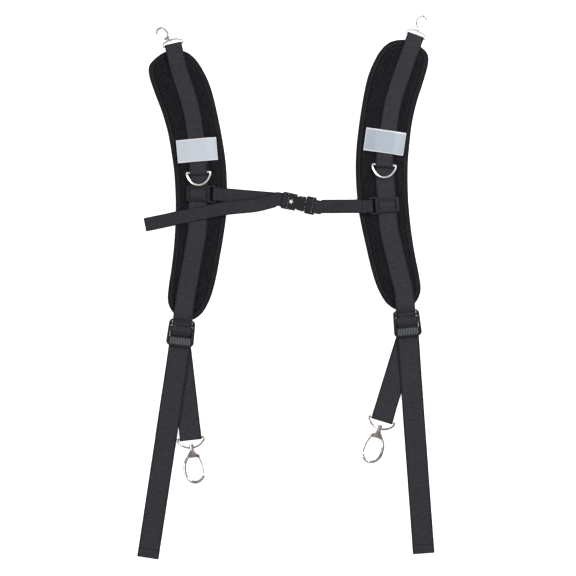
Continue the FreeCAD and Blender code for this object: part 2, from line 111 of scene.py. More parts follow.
# Outline of a pad: distance along its curved middle line, then out from it.
PAD_OUTLINE = (
    (246, -14), (241, -34), (232, -46.5), (212, -52), (175, -52), (143, -49.5), (103, -47.5),
    (60, -47), (19, -46), (-42, -45), (-100, -43.5), (-147, -41.5), (-186, -39), (-211, -34.5),
    (-225, -26), (-235, -12), (-237.5, 2), (-233, 16), (-225, 25), (-211, 32.5), (-186, 37.5),
    (-155, 39), (-113, 39.8), (-80, 41.8), (-50, 43.8), (-5, 45.2), (40, 45.6), (91, 44.5),
    (143, 44.5), (174, 43.5), (203, 38.5), (221, 32), (234, 22), (243, 5),
)


@dataclass(frozen=True)
class Side:
    """One half of the harness as it is laid out. Turns are in degrees.

    Args:
        name: "left" or "right", as in the CAD body names.
        hand: 1 where the pad's bend centre is on the low-X side, else -1.
        centre: centre of the pad's bend.
        mid: turn of the pad's middle, seen from that centre.
        top: place and turn of the shoulder hook's bar.
        shoulder: the webbing above the patch, from the top down.
        patch: place and turn of the reflective patch.
        tab: place and turn of the D-ring's bar, and how far back its tab reaches.
        lower: the webbing below the patch, from the patch down.
        slider: place of the sternum slider.
        lock: place and turn of the ladder lock's first bar.
        fold: where the hook strap folds round the belt hook's eye.
        tail: where the free tail ends.
        lift: height of the tail where it crosses the other strap, and until where.
        patch_tint: colour of the patch's beads.
    """

    name: str
    hand: int
    centre: Point
    mid: float
    top: tuple[float, float, float]
    shoulder: tuple[Point, ...]
    patch: tuple[float, float, float]
    tab: tuple[float, float, float, float]
    lower: tuple[Point, ...]
    slider: Point
    lock: tuple[float, float, float]
    fold: Point
    tail: Point
    lift: Point
    patch_tint: str

    def slider_turn(self) -> float:
        """Angle in degrees of the slider's cross direction, towards its side bar."""
        a, b = self.lower[0], self.lower[1]
        tilt = math.degrees(math.atan2(a[1] - b[1], a[0] - b[0])) - 90
        return tilt + (0 if self.hand > 0 else 180)


LEFT = Side(
    name="left", hand=1, centre=(-806.2, 158.4), mid=2.15, top=(-195.3, 429.0, 103.0),
    shoulder=((-185.0, 387.6), (-163.0, 318.0), (-151.3, 235.0)), patch=(-153.6, 245.0, 5.0),
    tab=(-150.8, 205.6, -87.0, 17.0), lower=((-150.5, 233.0), (-152.8, 104.0), (-174.6, -18.9)),
    slider=(-151.5, 168.5), lock=(-179.6, -59.4, -97.0), fold=(-165.2, -258.6),
    tail=(-240.3, -467.9), lift=(4.4, 155.0), patch_tint="#9DA1A8",
)
RIGHT = Side(
    name="right", hand=-1, centre=(829.2, 207.4), mid=-0.7, top=(228.1, 444.4, 70.0),
    shoulder=((213.6, 404.5), (187.5, 331.0), (174.3, 238.0)), patch=(174.1, 259.9, -8.2),
    tab=(172.7, 218.8, -94.0, 20.0), lower=((172.1, 233.0), (181.0, 106.0), (207.3, -2.9)),
    slider=(178.0, 149.1), lock=(211.5, -42.7, -84.0), fold=(170.2, -225.6),
    tail=(243.1, -460.2), lift=(2.95, 114.0), patch_tint="#818992",
)


# ------------------------------------------------------------------ colours and nodes
def linear(code: str) -> tuple[float, float, float, float]:
    """Linear colour, fully opaque, of an sRGB hex code such as "#3A3B40"."""
    parts = [int(code[i:i + 2], 16) / 255 for i in (1, 3, 5)]
    return tuple(c / 12.92 if c <= 0.04045 else ((c + 0.055) / 1.055) ** 2.4 for c in parts) + (1.0,)


class Graph:
    """A material's node tree, grown one node at a time."""

    def __init__(self, name: str) -> None:
        """Starts a material called NAME with its Principled shader."""
        self.material = bpy.data.materials.new(name)
        self.material.use_nodes = True
        self.tree = self.material.node_tree
        self.shader = self.tree.nodes["Principled BSDF"]

    def _join(self, socket: Socket, value: object) -> None:
        """Links another node's output to a socket, or sets the socket to a constant."""
        if isinstance(value, Socket):
            self.tree.links.new(value, socket)
        else:
            socket.default_value = value

    def add(self, kind: str, inputs: dict | tuple = (), out: int | str = 0, **settings: object) -> Socket:
        """Adds a node with its settings and links.

        Args:
            kind: the node's type after "ShaderNode", such as "Math".
            inputs: values or other nodes' outputs, in order or by socket name or index.
            out: the output that is wanted.
            settings: the node's own properties.
        Returns:
            That output.
        """
        made = self.tree.nodes.new("ShaderNode" + kind)
        for key, value in settings.items():
            setattr(made, key, value)
        for key, value in inputs.items() if isinstance(inputs, dict) else enumerate(inputs):
            self._join(made.inputs[key], value)
        return made.outputs[out]

    def finish(self, **values: object) -> bpy.types.Material:
        """Sets or links the shader's sockets (an underscore is a space) and returns the material."""
        for key, value in values.items():
            self._join(self.shader.inputs[key.replace("_", " ")], value)
        return self.material


def ridges(g: Graph, run: Socket, pitch: float) -> Socket:
    """Threads PITCH millimetres apart along a run in metres: 0 in the gaps, 1 on top."""
    turns = g.add("Math", (run, 2 * math.pi / (pitch * MM)), operation="MULTIPLY")
    return g.add("Math", (g.add("Math", (turns,), operation="SINE"), 0.5, 0.5), operation="MULTIPLY_ADD")


def own_map(g: Graph) -> list[Socket]:
    """The piece's own map: metres across it, and metres along it."""
    return g.add("SeparateXYZ", (g.add("UVMap", uv_map="UVMap"),)).node.outputs[:2]


class Weave(Enum):
    """How a textile's threads run."""

    RIB = "rib"
    CHEVRON = "chevron"


@dataclass(frozen=True)
class Textile:
    """Woven polyester tape or webbing: matt, with darker gaps between its ribs.

    Real ribs are about 1 mm apart. They are drawn up to 2 mm apart so that they show.

    Args:
        name: material name.
        light, dark: thread colours on top and in the gaps.
        pitch: spacing of the cross ribs.
        weave: the pattern.
        relief: height of the ribs.
        sheen: strength of the soft edge light.
    """

    name: str
    light: str
    dark: str
    pitch: float
    relief: float
    weave: Weave = Weave.CHEVRON
    sheen: float = 0.035

    chevron_width = 2.1
    warp_pitch = 1.05

    def build(self) -> bpy.types.Material:
        """Returns the finished material."""
        g = Graph(self.name)
        across, along = own_map(g)
        if self.weave is Weave.CHEVRON:
            start = g.add("Math", (across, 1.0), operation="ADD")
            zigzag = g.add("Math", (start, self.chevron_width * MM), operation="PINGPONG")
            along = g.add("Math", (zigzag, 0.55, along), operation="MULTIPLY_ADD")
        ribs = g.add("Math", (ridges(g, along, self.pitch), 0.65), operation="MULTIPLY")
        height = g.add("Math", (ridges(g, across, self.warp_pitch), 0.35, ribs), operation="MULTIPLY_ADD")

        # Yarn of uneven thickness makes short streaks across the strap.
        streak = g.add("CombineXYZ", (g.add("Math", (across, 90.0), operation="MULTIPLY"),
                                      g.add("Math", (along, 420.0), operation="MULTIPLY")))
        yarn = g.add("TexNoise", {"Vector": streak, "Scale": 1.0, "Detail": 3.0, "Roughness": 0.65})
        slub = g.add("MapRange", {"Value": yarn, "From Min": 0.3, "From Max": 0.7})

        spot = g.add("TexCoord", out="Object")
        fuzz = g.add("TexNoise", {"Vector": spot, "Scale": 900.0, "Detail": 2.0, "Roughness": 0.55})
        wear_and_highlight = g.add("TexNoise", {"Vector": spot, "Scale": 26.0, "Detail": 4.0, "Roughness": 0.6})
        lit = g.add("Math", (slub, 0.62, 0.5), operation="MULTIPLY_ADD")
        lit = g.add("Math", (height, lit), operation="MULTIPLY")
        colour = g.add("Mix", {0: lit, 6: linear(self.dark), 7: linear(self.light)}, 2, data_type="RGBA")
        faded = g.add("Math", (g.add("Math", (wear_and_highlight, 0.35), operation="SUBTRACT"), 0.3), operation="MULTIPLY")
        colour = g.add("Mix", {0: faded, 6: colour, 7: linear("#34353A")}, 2, data_type="RGBA")
        # Painted shade: the colour darkens towards the strap's edges, standing in for the shade along them.
        painted_edge_shade = g.add("Attribute", out="Fac", attribute_name="edge")
        shade = g.add("Math", (painted_edge_shade, 0.8), operation="MULTIPLY")
        colour = g.add("Mix", {0: shade, 6: colour, 7: linear("#040405")}, 2, data_type="RGBA")

        relief = g.add("Math", (slub, 0.6, height), operation="MULTIPLY_ADD")
        relief = g.add("Math", (fuzz, 0.35, relief), operation="MULTIPLY_ADD")
        normal = g.add("Bump", {"Height": relief, "Distance": self.relief * MM, "Strength": 0.75})
        return g.finish(Base_Color=colour, Roughness=0.82, Normal=normal, Specular_IOR_Level=0.1,
                        Sheen_Weight=self.sheen, Sheen_Roughness=0.45, Sheen_Tint=linear("#8A8C96"))


@dataclass(frozen=True)
class PadCloth:
    """Plain-woven polyester of a pad cover: nearly black and matt, with light puckers and lint."""

    name: str = "pad_cloth"
    light: str = "#201F23"
    dark: str = "#030304"
    pitch: float = 1.15

    def build(self) -> bpy.types.Material:
        """Returns the finished material."""
        g = Graph(self.name)
        spot = g.add("TexCoord", out="Object")
        x, y = g.add("SeparateXYZ", (spot,)).node.outputs[:2]
        threads = []
        for way in ("ADD", "SUBTRACT"):
            run = g.add("Math", (x, y), operation=way)
            turns = g.add("Math", (run, 2 * math.pi / (self.pitch * MM)), operation="MULTIPLY")
            threads.append(g.add("Math", (turns,), operation="SINE"))
        weave = g.add("Math", (g.add("Math", tuple(threads), operation="MULTIPLY"), 0.5, 0.5),
                      operation="MULTIPLY_ADD")
        pucker = g.add("TexNoise", {"Vector": spot, "Scale": 60.0, "Detail": 4.0, "Roughness": 0.6})
        lint = g.add("TexNoise", {"Vector": spot, "Scale": 1100.0, "Detail": 2.0, "Roughness": 0.55})
        patchy = g.add("TexNoise", {"Vector": spot, "Scale": 230.0, "Detail": 4.0, "Roughness": 0.75})
        tone = g.add("MapRange", {"Value": patchy, "From Min": 0.34, "From Max": 0.68})

        lit = g.add("Math", (g.add("Math", (weave, 0.5, 0.5), operation="MULTIPLY_ADD"),
                             g.add("Math", (tone, 0.8, 0.2), operation="MULTIPLY_ADD")), operation="MULTIPLY")
        colour = g.add("Mix", {0: lit, 6: linear(self.dark), 7: linear(self.light)}, 2, data_type="RGBA")
        flecks = g.add("Math", (g.add("Math", (lint, 0.72), operation="GREATER_THAN"), 0.18),
                       operation="MULTIPLY")
        colour = g.add("Mix", {0: flecks, 6: colour, 7: linear("#4A4A50")}, 2, data_type="RGBA")
        fine = g.add("Bump", {"Height": weave, "Distance": 0.16 * MM, "Strength": 0.8})
        normal = g.add("Bump", {"Height": pucker, "Distance": 1.2 * MM, "Strength": 0.35, "Normal": fine})
        return g.finish(Base_Color=colour, Roughness=0.9, Normal=normal, Specular_IOR_Level=0.06,
                        Sheen_Weight=0.03, Sheen_Roughness=0.5, Sheen_Tint=linear("#77757E"))


@dataclass(frozen=True)
class SpacerMesh:
    """Knitted spacer mesh against the wearer: matt, with dark open cells 3 mm apart."""

    name: str = "spacer_mesh"

    def build(self) -> bpy.types.Material:
        """Returns the finished material."""
        g = Graph(self.name)
        spot = g.add("TexCoord", out="Object")
        cells = g.add("TexVoronoi", {"Vector": spot, "Scale": 330.0, "Randomness": 0.25}, "Distance",
                      feature="F1")
        hole = g.add("Math", (cells, 0.33), operation="LESS_THAN")
        colour = g.add("Mix", {0: hole, 6: linear("#26262A"), 7: linear("#070708")}, 2, data_type="RGBA")
        thread = g.add("TexNoise", {"Vector": spot, "Scale": 900.0, "Detail": 2.0, "Roughness": 0.55})
        height = g.add("Math", (g.add("Math", (thread, 0.3), operation="MULTIPLY"),
                                g.add("Math", (hole, 0.8), operation="MULTIPLY")), operation="SUBTRACT")
        normal = g.add("Bump", {"Height": height, "Distance": 0.5 * MM, "Strength": 0.8})
        return g.finish(Base_Color=colour, Roughness=0.88, Normal=normal, Specular_IOR_Level=0.15)


@dataclass(frozen=True)
class Reflective:
    """Glass-bead tape: silver grey with a faint glitter and a paler woven border.

    Args:
        name: material name.
        tint: colour of the beads.
    """

    name: str
    tint: str
    line_pitch = 2.1

    def build(self) -> bpy.types.Material:
        """Returns the finished material."""
        g = Graph(self.name)
        spot = g.add("TexCoord", out="Object")
        line = ridges(g, own_map(g)[0], self.line_pitch)
        beads = g.add("TexVoronoi", {"Vector": spot, "Scale": 2600.0}, "Distance")
        cloud = g.add("TexNoise", {"Vector": spot, "Scale": 22.0, "Detail": 4.0, "Roughness": 0.6})
        part = g.add("Math", (line, 0.14), operation="MULTIPLY")
        colour = g.add("Mix", {0: part, 6: linear(self.tint), 7: linear("#7C838C")}, 2, data_type="RGBA")
        pale = g.add("Math", (g.add("Math", (cloud, 0.4), operation="SUBTRACT"), 0.5), operation="MULTIPLY")
        colour = g.add("Mix", {0: pale, 6: colour, 7: linear("#A6ABB2")}, 2, data_type="RGBA")
        rim = g.add("Attribute", out="Fac", attribute_name="edge")
        border = g.add("Math", (rim, 0.5), operation="GREATER_THAN")
        colour = g.add("Mix", {0: border, 6: colour, 7: linear("#B4B7BB")}, 2, data_type="RGBA")
        height = g.add("Math", (g.add("Math", (beads, 0.5), operation="MULTIPLY"),
                                g.add("Math", (line, 0.25), operation="MULTIPLY")), operation="ADD")
        normal = g.add("Bump", {"Height": height, "Distance": 0.09 * MM, "Strength": 0.6})
        return g.finish(Base_Color=colour, Roughness=0.42, Normal=normal, Specular_IOR_Level=0.45)


@dataclass(frozen=True)
class Plated:
    """Nickel-plated die casting: bright and faintly hazy, with casting grain, grime in the wear, and darker
    patches painted in as reflections.

    Args:
        name: material name.
        light, dark: colours of clean plating, and of hazy plating that is also darkened as painted reflection.
        rough: roughness where it is cleanest.
        grain: height of the casting's grain.
    """

    name: str
    light: str
    dark: str
    rough: float
    grain: float = 0.02

    def build(self) -> bpy.types.Material:
        """Returns the finished material."""
        g = Graph(self.name)
        spot = g.add("TexCoord", out="Object")
        haze_and_reflection = g.add("TexNoise", {"Vector": spot, "Scale": 70.0, "Detail": 4.0, "Roughness": 0.6})
        speck = g.add("TexNoise", {"Vector": spot, "Scale": 620.0, "Detail": 3.0, "Roughness": 0.7})
        dull = g.add("MapRange", {"Value": haze_and_reflection, "From Min": 0.35, "From Max": 0.75,
                                  "To Min": self.rough, "To Max": self.rough + 0.16})
        # Painted reflection: the haze noise mixes in the dark colour as patches that stand in for dark
        # surroundings mirrored in the metal. It also sets the haze's roughness above.
        tone = g.add("MapRange", {"Value": haze_and_reflection, "From Min": 0.42, "From Max": 0.72})
        colour = g.add("Mix", {0: tone, 6: linear(self.light), 7: linear(self.dark)}, 2, data_type="RGBA")
        grime = g.add("Math", (g.add("Math", (speck, 0.74), operation="GREATER_THAN"), 0.35),
                      operation="MULTIPLY")
        colour = g.add("Mix", {0: grime, 6: colour, 7: linear("#5A4B42")}, 2, data_type="RGBA")
        normal = g.add("Bump", {"Height": speck, "Distance": self.grain * MM, "Strength": 0.5})
        return g.finish(Base_Color=colour, Metallic=1.0, Roughness=dull, Normal=normal)


@dataclass(frozen=True)
class Moulded:
    """Injection-moulded acetal: black and satin from a spark-eroded mould, with a paler highlight painted along
    its edges.
    """

    name: str = "moulded"
    light: str = "#121315"
    dark: str = "#08090A"
    edge_radius: float = 1.0

    def build(self) -> bpy.types.Material:
        """Returns the finished material."""
        g = Graph(self.name)
        spot = g.add("TexCoord", out="Object")
        grain = g.add("TexNoise", {"Vector": spot, "Scale": 1500.0, "Detail": 3.0, "Roughness": 0.6})
        flow = g.add("TexNoise", {"Vector": spot, "Scale": 45.0, "Detail": 4.0, "Roughness": 0.55})
        soft = g.add("Bevel", {"Radius": self.edge_radius * MM}, samples=6)
        true = g.add("NewGeometry", out="Normal")
        facing = g.add("VectorMath", (soft, true), "Value", operation="DOT_PRODUCT")
        wear_and_highlight = g.add("MapRange", {"Value": facing, "From Min": 0.995, "From Max": 0.8})
        colour = g.add("Mix", {0: flow, 6: linear(self.dark), 7: linear(self.light)}, 2, data_type="RGBA")
        # Painted highlight: where the bevelled normal turns from the true one, along the edges, the colour is
        # lightened towards pale grey.
        painted_edge_highlight = g.add("Math", (wear_and_highlight, 0.7), operation="MULTIPLY")
        colour = g.add("Mix", {0: painted_edge_highlight, 6: colour, 7: linear("#505257")}, 2, data_type="RGBA")
        dull = g.add("MapRange", {"Value": flow, "To Min": 0.3, "To Max": 0.44})
        normal = g.add("Bump", {"Height": grain, "Distance": 0.05 * MM, "Strength": 0.5, "Normal": soft})
        return g.finish(Base_Color=colour, Roughness=dull, Normal=normal, Specular_IOR_Level=0.24)


@dataclass(frozen=True)
class Thread:
    """Bonded polyester sewing thread, with its twist drawn as slanting bands."""

    name: str
    light: str
    dark: str

    def build(self) -> bpy.types.Material:
        """Returns the finished material."""
        g = Graph(self.name)
        ply = g.add("TexWave", {"Vector": g.add("TexCoord", out="Object"), "Scale": 900.0, "Distortion": 1.0},
                    1, wave_type="BANDS", bands_direction="DIAGONAL")
        colour = g.add("Mix", {0: ply, 6: linear(self.dark), 7: linear(self.light)}, 2, data_type="RGBA")
        normal = g.add("Bump", {"Height": ply, "Distance": 0.06 * MM, "Strength": 0.8})
        return g.finish(Base_Color=colour, Roughness=0.6, Normal=normal, Specular_IOR_Level=0.3)


class Finishes:
    """Every material of the harness, built once."""

    def __init__(self) -> None:
        """Builds them all."""
        self.webbing = Textile("webbing", "#3B3A40", "#0F0E11", pitch=2.0, relief=0.35).build()
        self.chest = Textile("chest_webbing", "#363539", "#0E0D0F", pitch=1.8, relief=0.3).build()
        self.binding = Textile("binding_tape", "#1A1A1C", "#060607", pitch=1.4, relief=0.12,
                               weave=Weave.RIB, sheen=0.02).build()
        self.pad = PadCloth().build()
        self.mesh = SpacerMesh().build()
        self.patches = {s.name: Reflective("reflective_" + s.name, s.patch_tint).build()
                        for s in (LEFT, RIGHT)}
        self.nickel = Plated("nickel", "#F2EEEA", "#BDB5AF", 0.1).build()
        self.hook = Plated("hook_plate", "#B9B3B0", "#574C49", 0.14, 0.03).build()
        self.hook_small = Plated("hook_plate_small", "#A5A2A1", "#7C7876", 0.3, 0.03).build()
        self.pin = Plated("pin_steel", "#8E8B88", "#55504C", 0.22).build()
        self.plastic = Moulded().build()
        # The lock's grip ribs get a paler copy of the black plastic: a painted highlight for the gloss on the
        # lip.
        self.grip = Moulded("moulded_grip", "#5A5C61", "#3E4044").build()
        self.thread = Thread("thread_black", "#38383C", "#1C1C1F").build()
        self.thread_pale = Thread("thread_pale", "#B4B5B6", "#8E8F92").build()
        LOG.info("finishes ready")


# ------------------------------------------------------------------ geometry helpers
def heading(turn: float) -> Vector:
    """Unit vector at TURN degrees on the table."""
    return Vector((math.cos(math.radians(turn)), math.sin(math.radians(turn)), 0.0))


def axes(turn: float) -> tuple[Vector, Vector]:
    """Unit vectors along a direction of TURN degrees, and across it to the left."""
    along = heading(turn)
    return along, Vector((-along.y, along.x, 0))


def placed(point: Vector) -> Vector:
    """A point of the layout as a place in the frame, in metres."""
    return (point + SHIFT) * MM


def polar(x: float, y: float, turn: float, dist: float) -> Point:
    """The point DIST from (x, y) at TURN degrees."""
    p = Vector((x, y, 0)) + heading(turn) * dist
    return p.x, p.y


def rounded(path: list | tuple, step: float = 4.0, fine: float = 14.0) -> list[Point]:
    """Samples a polyline with rounded corners.

    Args:
        path: (x, y, corner radius) of each vertex.
        step: largest spacing along the straights.
        fine: largest turn between two samples on a corner, in degrees.
    Returns:
        The sampled points.
    """
    pts = [Vector((p[0], p[1], 0)) for p in path]
    out: list[Vector] = [pts[0]]
    for i in range(1, len(pts)):
        target, corner = pts[i], None
        if i < len(pts) - 1 and len(path[i]) > 2 and path[i][2] > 0:
            d0, d1 = (pts[i] - pts[i - 1]).normalized(), (pts[i + 1] - pts[i]).normalized()
            angle = math.atan2(d0.cross(d1).z, d0.dot(d1))
            if abs(angle) > 1e-4:
                r, t = path[i][2], path[i][2] * math.tan(abs(angle) / 2)
                target = pts[i] - d0 * t
                hub = target + Vector((-d0.y, d0.x, 0)) * math.copysign(r, angle)
                corner = (target, hub, angle)
        gap = (target - out[-1]).length
        steps = max(1, math.ceil(gap / step))
        for k in range(1, steps + 1):
            if gap > 1e-4:
                out.append(out[-1].lerp(target, 1.0 / (steps - k + 1)))
        if corner:
            first, hub, angle = corner
            count = max(2, math.ceil(math.degrees(abs(angle)) / fine))
            arm = first - hub
            for k in range(1, count + 1):
                c, q = math.cos(angle * k / count), math.sin(angle * k / count)
                out.append(hub + Vector((arm.x * c - arm.y * q, arm.x * q + arm.y * c, 0)))
    return [(p.x, p.y) for p in out]


def height_at(profile: list[Point], u: float) -> float:
    """Height of a side view at distance U."""
    for (a, za), (b, zb) in zip(profile, profile[1:]):
        if a <= u <= b and b > a:
            return za + (zb - za) * (u - a) / (b - a)
    return profile[0][1] if u < profile[0][0] else profile[-1][1]


@dataclass
class Route:
    """Middle line of a strap, with the direction of its width at each point."""

    points: list[Vector] = field(default_factory=list)
    across: list[Vector] = field(default_factory=list)

    def view(self, x: float, y: float, turn: float, path: list, step: float = 4.0) -> Route:
        """Adds a strap seen from the side, along one straight direction.

        Args:
            x, y, turn: where the side view starts, and its direction.
            path: (distance along, height, corner radius) of each vertex.
            step: largest spacing of the points.
        Returns:
            The route itself.
        """
        along, side = axes(turn)
        for u, z in rounded(path, step):
            self.points.append(Vector((x, y, 0)) + along * u + Vector((0, 0, z)))
            self.across.append(side)
        return self

    def plan(self, path: list, height: float) -> Route:
        """Adds a level strap seen from above.

        Args:
            path: (x, y, corner radius) of each vertex.
            height: how high it lies.
        Returns:
            The route itself.
        """
        flat = [Vector((x, y, 0)) for x, y in rounded(path, 4.0, 2.5)]
        for i, p in enumerate(flat):
            t = (flat[min(i + 1, len(flat) - 1)] - flat[max(i - 1, 0)]).normalized()
            self.points.append(p + Vector((0, 0, height)))
            self.across.append(Vector((-t.y, t.x, 0)))
        return self

    def evened(self) -> Route:
        """A copy without points that all but repeat, and with its width direction evened out."""
        keep = [0]
        for i in range(1, len(self.points)):
            if (self.points[i] - self.points[keep[-1]]).length > 0.25:
                keep.append(i)
        pts, acr = [self.points[i] for i in keep], [self.across[i] for i in keep]
        soft = []
        for i in range(len(acr)):
            total = Vector()
            for j in range(max(0, i - 2), min(len(acr), i + 3)):
                total += acr[j]
            soft.append(total.normalized())
        return Route(pts, soft)


def link(name: str, mesh: bpy.types.Mesh, material: bpy.types.Material) -> bpy.types.Object:
    """Puts a mesh in the scene with its material."""
    piece = bpy.data.objects.new(name, mesh)
    bpy.context.scene.collection.objects.link(piece)
    mesh.materials.append(material)
    return piece


def keep(piece: bpy.types.Object, body: str, slot: str, *nodes: str) -> None:
    """Rides a piece on a body and says which CAD nodes it replaces."""
    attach(piece, body)
    if nodes:
        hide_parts(*nodes)


def smooth(mesh: bpy.types.Mesh, angle: float = 40.0) -> None:
    """Smooth shading with creases kept sharp."""
    mesh.polygons.foreach_set("use_smooth", [True] * len(mesh.polygons))
    mesh.set_sharp_from_angle(angle=math.radians(angle))


# Width of the band along a strap's edges that webbing darkens as painted shade and a patch shows as its paler
# border, and how many points its section has.
EDGE_BAND_W, TAPE_SECTION = 1.6, 28
PATCH_W, PATCH_T = 40.0, 0.8
# Rings of one stitch: place along it, thickness, and rise, as shares of its size.
STITCH_RINGS = ((0.0, 0.35, -0.7), (0.22, 0.95, -0.1), (0.5, 1.0, 0.12), (0.78, 0.95, -0.1), (1.0, 0.35, -0.7))


def tape(name: str, route: Route, width: float, thick: float, material: bpy.types.Material,
         wave: float = 0.0, seed: float = 0.0) -> bpy.types.Object:
    """Woven strap swept along a route, with soft selvedges and its own map.

    Args:
        name: piece name.
        route: the middle line.
        width, thick: section size.
        material: its finish.
        wave: how far the strap waves up and down, at most.
        seed: varies the wave.
    Returns:
        The strap, in place.
    """
    route = route.evened()
    pts, half, edge = route.points, width / 2, thick * 0.5
    # The section: eleven points across the top and the bottom, and a round of three at each side.
    flat = [half - edge * 0.55 - (width - edge * 1.1) * k / 10 for k in range(11)]
    nose, brow = half - edge * 0.12, thick * 0.3
    section = [(y, thick / 2) for y in flat]
    section += [(-nose, brow), (-half, 0.0), (-nose, -brow)]
    section += [(y, -thick / 2) for y in reversed(flat)]
    section += [(nose, -brow), (half, 0.0), (nose, brow)]
    verts, near_edge, dist, runs = [], [], 0.0, []
    for i, p in enumerate(pts):
        if i:
            dist += (p - pts[i - 1]).length
        runs.append(dist)
    for i, p in enumerate(pts):
        t = (pts[min(i + 1, len(pts) - 1)] - pts[max(i - 1, 0)]).normalized()
        side = route.across[i]
        up = t.cross(side).normalized()
        sway = noise.noise(Vector((runs[i] * 0.011, seed, 3.0)))
        roll = noise.noise(Vector((runs[i] * 0.017, seed, 9.0)))
        for y, z in section:
            lift = wave * (sway + roll * y / half) * 0.5
            uneven = 0.12 * noise.noise(Vector((runs[i] * 0.12, y * 0.02, seed)))
            out = y + (uneven if abs(y) > half * 0.9 else 0)
            verts.append(placed(p + side * out + up * z + Vector((0, 0, lift))))
            near_edge.append(max(0.0, 1 - (half - abs(y)) / EDGE_BAND_W))
    n, rings = len(section), len(pts)
    faces = []
    for i in range(rings - 1):
        for j in range(n):
            k = (j + 1) % n
            faces.append((i * n + j, (i + 1) * n + j, (i + 1) * n + k, i * n + k))
    for base, order in ((0, range(n)), ((rings - 1) * n, reversed(range(n)))):
        faces.append(tuple(base + j for j in order))
    mesh = bpy.data.meshes.new(name)
    mesh.from_pydata(verts, [], faces)
    layer = mesh.uv_layers.new(name="UVMap")
    for poly in mesh.polygons:
        for loop in poly.loop_indices:
            vert = mesh.loops[loop].vertex_index
            layer.data[loop].uv = (section[vert % n][0] * MM, runs[vert // n] * MM)
    near = mesh.attributes.new("edge", "FLOAT", "POINT")
    near.data.foreach_set("value", near_edge)
    smooth(mesh, 55)
    piece = link(name, mesh, material)
    LOG.info("strap %s: %d faces, %.0f mm long", name, len(mesh.polygons), runs[-1])
    return piece


def point_along(line: list[Vector], runs: list[float], at: float) -> Vector:
    """The point of a line at distance AT, given the distance run at each of its points."""
    at = min(max(at, 0.0), runs[-1])
    index = 0
    while index < len(runs) - 2 and runs[index + 1] < at:
        index += 1
    gap = max(runs[index + 1] - runs[index], 1e-6)
    return line[index].lerp(line[index + 1], (at - runs[index]) / gap)


def stitches(name: str, lines: list[list[Vector]], material: bpy.types.Material, pitch: float,
             length: float, radius: float) -> bpy.types.Object:
    """Rows of single thread stitches along lines, joined in one piece.

    Args:
        name: piece name.
        lines: polylines on the surface that is sewn.
        material: the thread.
        pitch, length, radius: spacing of the stitches, and the size of each.
    Returns:
        The piece with every stitch.
    """
    verts, faces = [], []
    sides, last = 6, (len(STITCH_RINGS) - 1) * 6
    for line in lines:
        runs = [0.0]
        for a, b in zip(line, line[1:]):
            runs.append(runs[-1] + (b - a).length)
        count = max(1, int(runs[-1] / pitch))
        for k in range(count):
            middle = (k + 0.5) * runs[-1] / count
            a, b = (point_along(line, runs, middle + reach) for reach in (-length / 2, length / 2))
            t = (b - a).normalized()
            side = t.cross(Vector((0, 0, 1))).normalized()
            up = side.cross(t).normalized()
            base = len(verts)
            for part, r, rise in STITCH_RINGS:
                mid = a.lerp(b, part) + up * (rise * radius)
                for q in range(sides):
                    turn = math.radians(360 / sides * q)
                    wide, high = math.cos(turn) * r * radius, math.sin(turn) * r * radius * 0.8
                    verts.append(placed(mid + side * wide + up * high))
            for ring in range(base, base + last, sides):
                for q in range(sides):
                    w = (q + 1) % sides
                    faces.append((ring + q, ring + w, ring + sides + w, ring + sides + q))
            faces.append(tuple(base + q for q in reversed(range(sides))))
            faces.append(tuple(base + last + q for q in range(sides)))
    mesh = bpy.data.meshes.new(name)
    mesh.from_pydata(verts, [], faces)
    smooth(mesh, 70)
    LOG.info("stitching %s: %d faces", name, len(faces))
    return link(name, mesh, material)


def box_stitch(x: float, y: float, turn: float, u0: float, u1: float, half: float,
               z: float | Callable[[float], float], cross: bool = False) -> list[list[Vector]]:
    """Lines of a box that is sewn on a strap.

    Args:
        x, y, turn: a point on the strap's middle line, and the strap's direction.
        u0, u1: where the box starts and ends, along the strap from that point.
        half: half the box's width.
        z: height of the seam, or a function of the distance along.
        cross: whether the box has a cross in it.
    Returns:
        One polyline for each row.
    """
    along, side = axes(turn)

    def at(u: float, v: float) -> Vector:
        """The point U along and V across."""
        return Vector((x, y, 0)) + along * u + side * v + Vector((0, 0, z(u) if callable(z) else z))

    def row(a: Point, b: Point) -> list[Vector]:
        """Seven points from A to B."""
        return [at(a[0] + (b[0] - a[0]) * k / 6, a[1] + (b[1] - a[1]) * k / 6) for k in range(7)]

    corners = [(u0, -half), (u1, -half), (u1, half), (u0, half)]
    lines = [row(corners[i], corners[(i + 1) % 4]) for i in range(4)]
    if cross:
        lines += [row(corners[0], corners[2]), row(corners[1], corners[3])]
    return lines


# ------------------------------------------------------------------ pads
def pad_point(side: Side, along: float, across: float) -> Vector:
    """A point of the pad's own (along, across) measure, on the table."""
    a = math.radians(side.mid) + along / PAD_RADIUS
    return Vector((side.centre[0] + side.hand * (PAD_RADIUS + across) * math.cos(a),
                   side.centre[1] + (PAD_RADIUS + across) * math.sin(a), 0))


